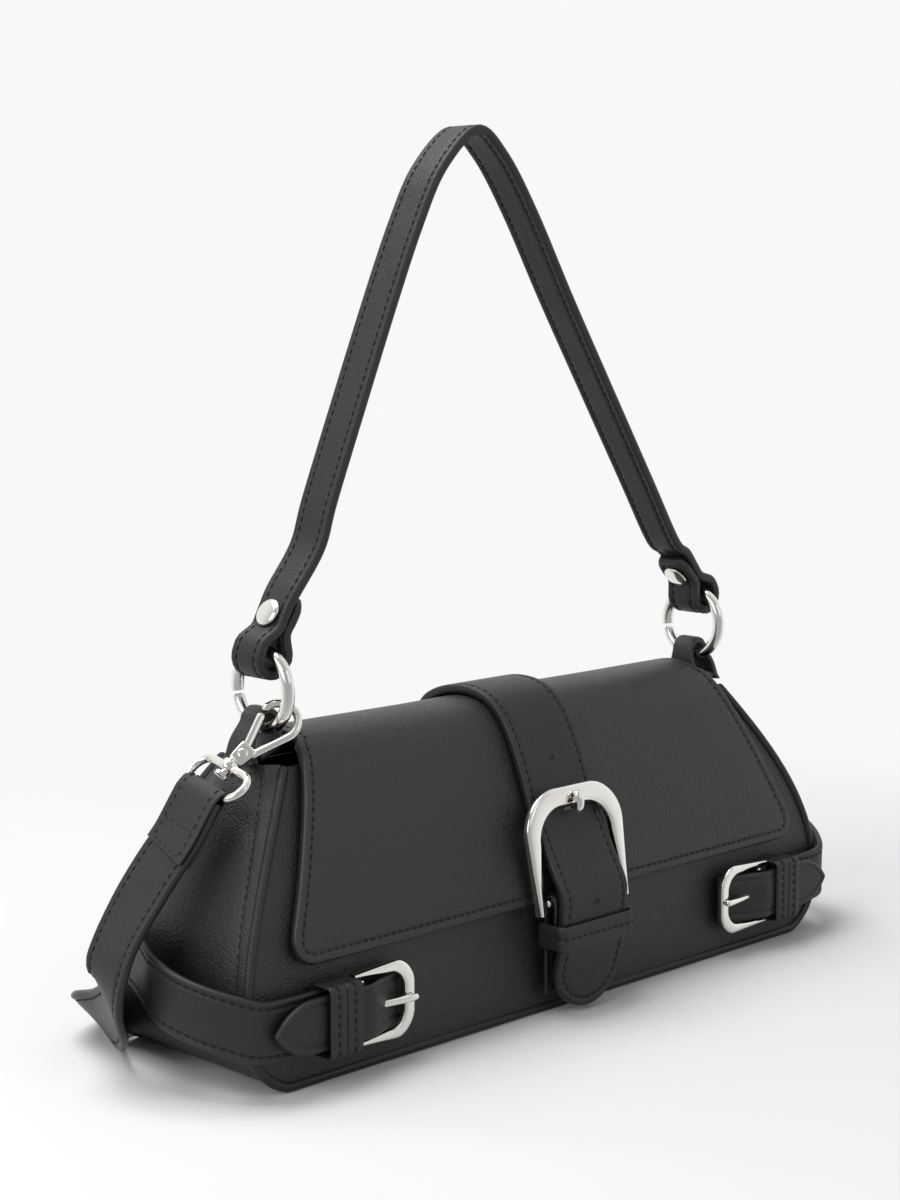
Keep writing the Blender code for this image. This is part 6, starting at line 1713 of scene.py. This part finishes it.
cord_pieces = []
for word, (start, along, across, normal, strap_side) in hook_frames().items():

    def hook_place(u, w, v=0.0, start=start, along=along, across=across, normal=normal):
        """Hook axes: u towards the ring, w across the eye, v out of its plane."""
        u, w, v = np.broadcast_arrays(u, w, v)
        return start + u[..., None] * along + w[..., None] * across + v[..., None] * normal

    hook_body = "left_hook" if word == "left" else "bag"
    gate_body = word + "_hook_gate"
    plate_piece = hook_plate(word + "_hook_plate_plated", hook_place)
    lean = math.asin((HOOK_EYE_RADIUS - HOOK_PLATE_HALF_WIDTH) / (HOOK_LENGTH - HOOK_PLATE_LENGTH))
    turns = np.radians(np.linspace(90 + math.degrees(lean), HOOK_NOSE_DEG, 60))
    eye_u = HOOK_LENGTH + HOOK_EYE_RADIUS * np.cos(turns)
    eye_w = HOOK_EYE_RADIUS * np.sin(turns)
    root = (HOOK_PLATE_LENGTH - 2 * HOOK_WIRE_RADIUS, HOOK_PLATE_HALF_WIDTH - HOOK_WIRE_RADIUS)
    arm_line = hook_place(np.append(root[0], eye_u), np.append(root[1], eye_w))
    arm = rounded_tube(word + "_hook_arm_plated", arm_line, HOOK_WIRE_RADIUS, normal, BRIGHT)
    under_head = HOOK_POST_HEAD - HOOK_POST_LENGTH
    post_at = [HOOK_POST_ROOT, under_head, under_head]
    post_at = np.array(post_at + [HOOK_POST_BEVEL - HOOK_POST_LENGTH, -HOOK_POST_LENGTH])
    post_radii = np.array([HOOK_POST_RADIUS] * 2 + [HOOK_POST_HEAD_RADIUS] * 3) * (1, 1, 1, 1, 0.85)
    post = turned(word + "_hook_post_plated", start, along, post_at, post_radii, BRIGHT)
    nose = math.radians(HOOK_NOSE_DEG)
    nose_u = HOOK_LENGTH + HOOK_EYE_RADIUS * math.cos(nose)
    nose_w = HOOK_EYE_RADIUS * math.sin(nose)
    gate_run = np.array([nose_u - HOOK_PIN_SETBACK, nose_w])
    gate_run = gate_run * (1 - 3 * SEAM_SPACE / np.linalg.norm(gate_run))
    share = np.linspace(0.1, 1, 12)
    gate_line = hook_place(HOOK_PIN_SETBACK + share * gate_run[0], share * gate_run[1])
    gate_radius = HOOK_WIRE_RADIUS * 0.95
    gate = rounded_tube(word + "_hook_gate_plated", gate_line, gate_radius, normal, BRIGHT, squash=0.62)
    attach(gate, gate_body)
    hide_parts(word + "_hook_gate")
    pivot = hook_place(HOOK_PIN_SETBACK, 0.0)
    at, radii = dome(HOOK_PLATE_THICKNESS / 2, HOOK_PIN_HEAD, HOOK_PIN_HEAD_RADIUS, 8)
    rivet_pieces = []
    for letter, face in (("a", -1), ("b", 1)):
        name = f"{word}_hook_rivet_{letter}_plated"
        rivet_pieces.append(turned(name, pivot, face * normal, at, radii, BRIGHT, 28))
    for piece in (plate_piece, arm, post, *rivet_pieces):
        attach(piece, hook_body)
    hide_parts(word + "_hook_body")
    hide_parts(word + "_hook_pin")
    width = unit(strap_side - along * (strap_side @ along))
    collar_u = -SWIVEL_COLLAR_LENGTH / 2 - SEAM_SPACE
    collar_at = np.array([-1.0, -0.8, -0.45, 0.45, 0.8, 1.0]) * SWIVEL_COLLAR_LENGTH / 2
    collar_radii = np.array([0.78, 0.94, 1.0, 1.0, 0.94, 0.78]) * SWIVEL_COLLAR_RADIUS
    collar_middle = hook_place(collar_u, 0.0)
    collar = turned(word + "_swivel_barrel_plated", collar_middle, along, collar_at, collar_radii, BRIGHT)
    loop = rounded_loop(SWIVEL_HALF_WIDTH, SWIVEL_HALF_HEIGHT, SWIVEL_CORNER, 16, 12)
    loop_centre = hook_place(collar_u - SWIVEL_HALF_HEIGHT, 0.0)
    loop_line = loop_centre + loop[:, :1] * width + loop[:, 1:] * along
    wire_rings = tube_rings(loop_line, SWIVEL_WIRE_RADIUS, np.cross(width, along), 20, True)
    wire = loft(word + "_swivel_loop_plated", wire_rings, BRIGHT, closed=True)
    for piece in (collar, wire):
        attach(piece, "bag")
    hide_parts(word + "_swivel_loop")
    cord_pieces += [collar, wire]
    if word == "left":
        left_wire = hook_place(collar_u - 2 * SWIVEL_HALF_HEIGHT, 0.0)
    if word == "right":
        cord_pieces += [plate_piece, arm, post, gate, *rivet_pieces]


# Shoulder strap
# A doubled strap, one end sewn round the left swivel's wire. It drops to the table in a loop,
# runs behind the bag and lies there folded up, with the other hook on top.
LONG_STRAP_WIDTH = 0.020
LONG_STRAP_THICKNESS = 0.0026
LONG_STRAP_RIM = 0.0011
STRAP_FOLD_THICKNESS = 0.0010
STRAP_FOLD_LENGTH = 0.019
STRAP_FOLD_ROOT = 0.0004
STRAP_FOLD_SPACE = 0.00005
STRAP_FOLD_SLACK = 0.0002
STRAP_FOLD_WRAP_DEG = 15
STRAP_FOLD_SEAMS = (0.0013, 0.0085)
LONG_STRAP_START = (
    ((-0.9499, -0.0466, 0.6343), (0.12, 0.98, 0.16)), ((-0.9662, -0.0403, 0.6043), (0.11, 0.98, 0.18)),
    ((-0.9992, -0.0275, 0.5435), (0.09, 0.97, 0.21)), ((-1.0359, -0.0076, 0.4847), (0.08, 0.97, 0.2)),
    ((-1.0756, 0.0061, 0.4237), (0.05, 0.99, 0.15)), ((-1.1122, 0.0145, 0.3672), (0.06, 0.99, 0.08)),
    ((-1.1405, 0.0191, 0.3183), (0.07, 1.0, 0.05)), ((-1.1580, 0.0221, 0.2702), (0.08, 0.98, 0.12)),
    ((-1.1519, 0.0305, 0.2130), (0.2, 0.85, 0.48)), ((-1.0985, 0.0824, 0.1466), (0.03, 0.57, 0.82)),
    ((-1.0305, 0.2061, 0.0878), (-0.24, 0.44, 0.87)), ((-0.9771, 0.3191, 0.0595), (-0.4, 0.65, 0.64)),
    ((-0.8664, 0.3618, 0.0321), (-0.18, 0.97, 0.16)), ((-0.7405, 0.3664, 0.0137), (0.0, 1.0, 0.02)),
)
LAST_RUN_RISE = 0.0014
FOLD_RUNS = 5
LAST_RUN_POINTS = 8
FOLD_HALF_LENGTH = 0.083
FOLD_Y = 0.048
FOLD_LOW_Z = 0.0016
FOLD_PITCH = 0.0072
FOLD_END_PITCH = 0.0078
FOLD_FLARE_START = 0.045


def fold_height(run, x):
    """Height of one run of the folded strap: the runs spread towards their bends."""
    share = np.clip((np.abs(x) - FOLD_FLARE_START) / (FOLD_HALF_LENGTH - FOLD_FLARE_START), 0, 1)
    return FOLD_LOW_Z + run * (FOLD_PITCH + (FOLD_END_PITCH - FOLD_PITCH) * share**2)


def long_strap_line():
    """Middle line of the strap and the direction across it."""
    start = np.array([spot for spot, _ in LONG_STRAP_START]) * BASE_HALF_WIDTH
    first = spline(start, 3)
    across = unit(spline(np.array([side for _, side in LONG_STRAP_START]), 3))
    points = list(first)
    bend = FOLD_END_PITCH / 2
    for run in range(FOLD_RUNS):
        facing = 1 if run % 2 == 0 else -1
        reach = np.linspace(-FOLD_HALF_LENGTH, FOLD_HALF_LENGTH, 14)
        reach = reach[1:] if run == 0 else reach
        reach = reach[:LAST_RUN_POINTS] if run == FOLD_RUNS - 1 else reach
        points += [(facing * x, FOLD_Y, float(fold_height(run, x))) for x in reach]
        if run < FOLD_RUNS - 1:
            low, high = (float(fold_height(level, FOLD_HALF_LENGTH)) for level in (run, run + 1))
            middle = (low + high) / 2
            for turn in np.radians((-60, -20, 20, 60)):
                x = facing * (FOLD_HALF_LENGTH + bend * math.cos(turn))
                points.append((x, FOLD_Y, middle + bend * math.sin(turn)))
    points[-2] = (*points[-2][:2], points[-2][2] + LAST_RUN_RISE / 2)
    points[-1] = (*points[-1][:2], points[-1][2] + LAST_RUN_RISE)
    rest = np.broadcast_to((0.0, 1.0, 0.0), (len(points) - len(first), 3))
    return np.array(points), np.vstack([across, rest])


long_line, long_across = long_strap_line()
smooth_line = spline(long_line, 5)
smooth_across = spline(long_across, 5)
long_path = strap_path(smooth_line, smooth_across)
long_half = even_half(LONG_STRAP_WIDTH)
long_strap = strap(
    "shoulder_strap_leather", long_path, long_half, LONG_STRAP_THICKNESS, STRAP_LEATHER, (True, True),
    STRAP_SEAM, LONG_STRAP_RIM, step=0.0022,
)
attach(long_strap, "bag")
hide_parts("crossbody_strap")
fold_lift = (LONG_STRAP_THICKNESS + STRAP_FOLD_THICKNESS) / 2 + STRAP_FOLD_SPACE
fold_run = np.linspace(STRAP_FOLD_LENGTH, STRAP_FOLD_ROOT, 24)
fold_front = place_on(long_path, fold_run, 0.0, fold_lift)
fold_back = place_on(long_path, fold_run[::-1], 0.0, -fold_lift)
wire_out = unit(fold_front[-1] - fold_back[0])
wire_up = unit(np.cross(long_path["a"][0], wire_out))
wire_up = wire_up * np.sign(wire_up @ (left_wire - long_path["p"][0]))
fold_turns = np.radians(np.linspace(STRAP_FOLD_WRAP_DEG, 180 - STRAP_FOLD_WRAP_DEG, 15))[:, None]
fold_radius = SWIVEL_WIRE_RADIUS + STRAP_FOLD_THICKNESS / 2 + STRAP_FOLD_SLACK
fold_arc = left_wire + fold_radius * (np.cos(fold_turns) * wire_out + np.sin(fold_turns) * wire_up)
fold_path = strap_path(np.vstack([fold_front, fold_arc, fold_back]), long_path["a"][0])
strap_fold = strap(
    "shoulder_strap_fold", fold_path, long_half, STRAP_FOLD_THICKNESS, STRAP_LEATHER, (True, True), 0,
    THIN_RIM,
)
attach(strap_fold, "bag")
fold_end = fold_path["s"][-1]
fold_reach = LONG_STRAP_WIDTH / 2 - STRAP_SEAM
fold_seam = []
for distance in STRAP_FOLD_SEAMS:
    for place in (distance, fold_end - distance):
        fold_seam.append(np.column_stack([np.full(30, place), np.linspace(-1, 1, 30) * fold_reach]))
fold_side = np.linspace(STRAP_SEAM / 2, fold_end - STRAP_SEAM / 2, 60)
for u in (-1, 1):
    fold_seam.append(np.column_stack([fold_side, np.full(60, u * fold_reach)]))
fold_face = STRAP_FOLD_THICKNESS + GROOVE_DEPTH
fold_threads = sew("shoulder_strap_fold_stitches", fold_path, fold_seam, fold_face, (1, -1))
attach(fold_threads, "bag")
long_seam = border(long_half, STRAP_SEAM, STRAP_FOLD_LENGTH, long_path["s"][-1], around=False)
long_threads = sew("shoulder_strap_stitches", long_path, long_seam, LONG_STRAP_THICKNESS, (1, -1))
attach(long_threads, "bag")
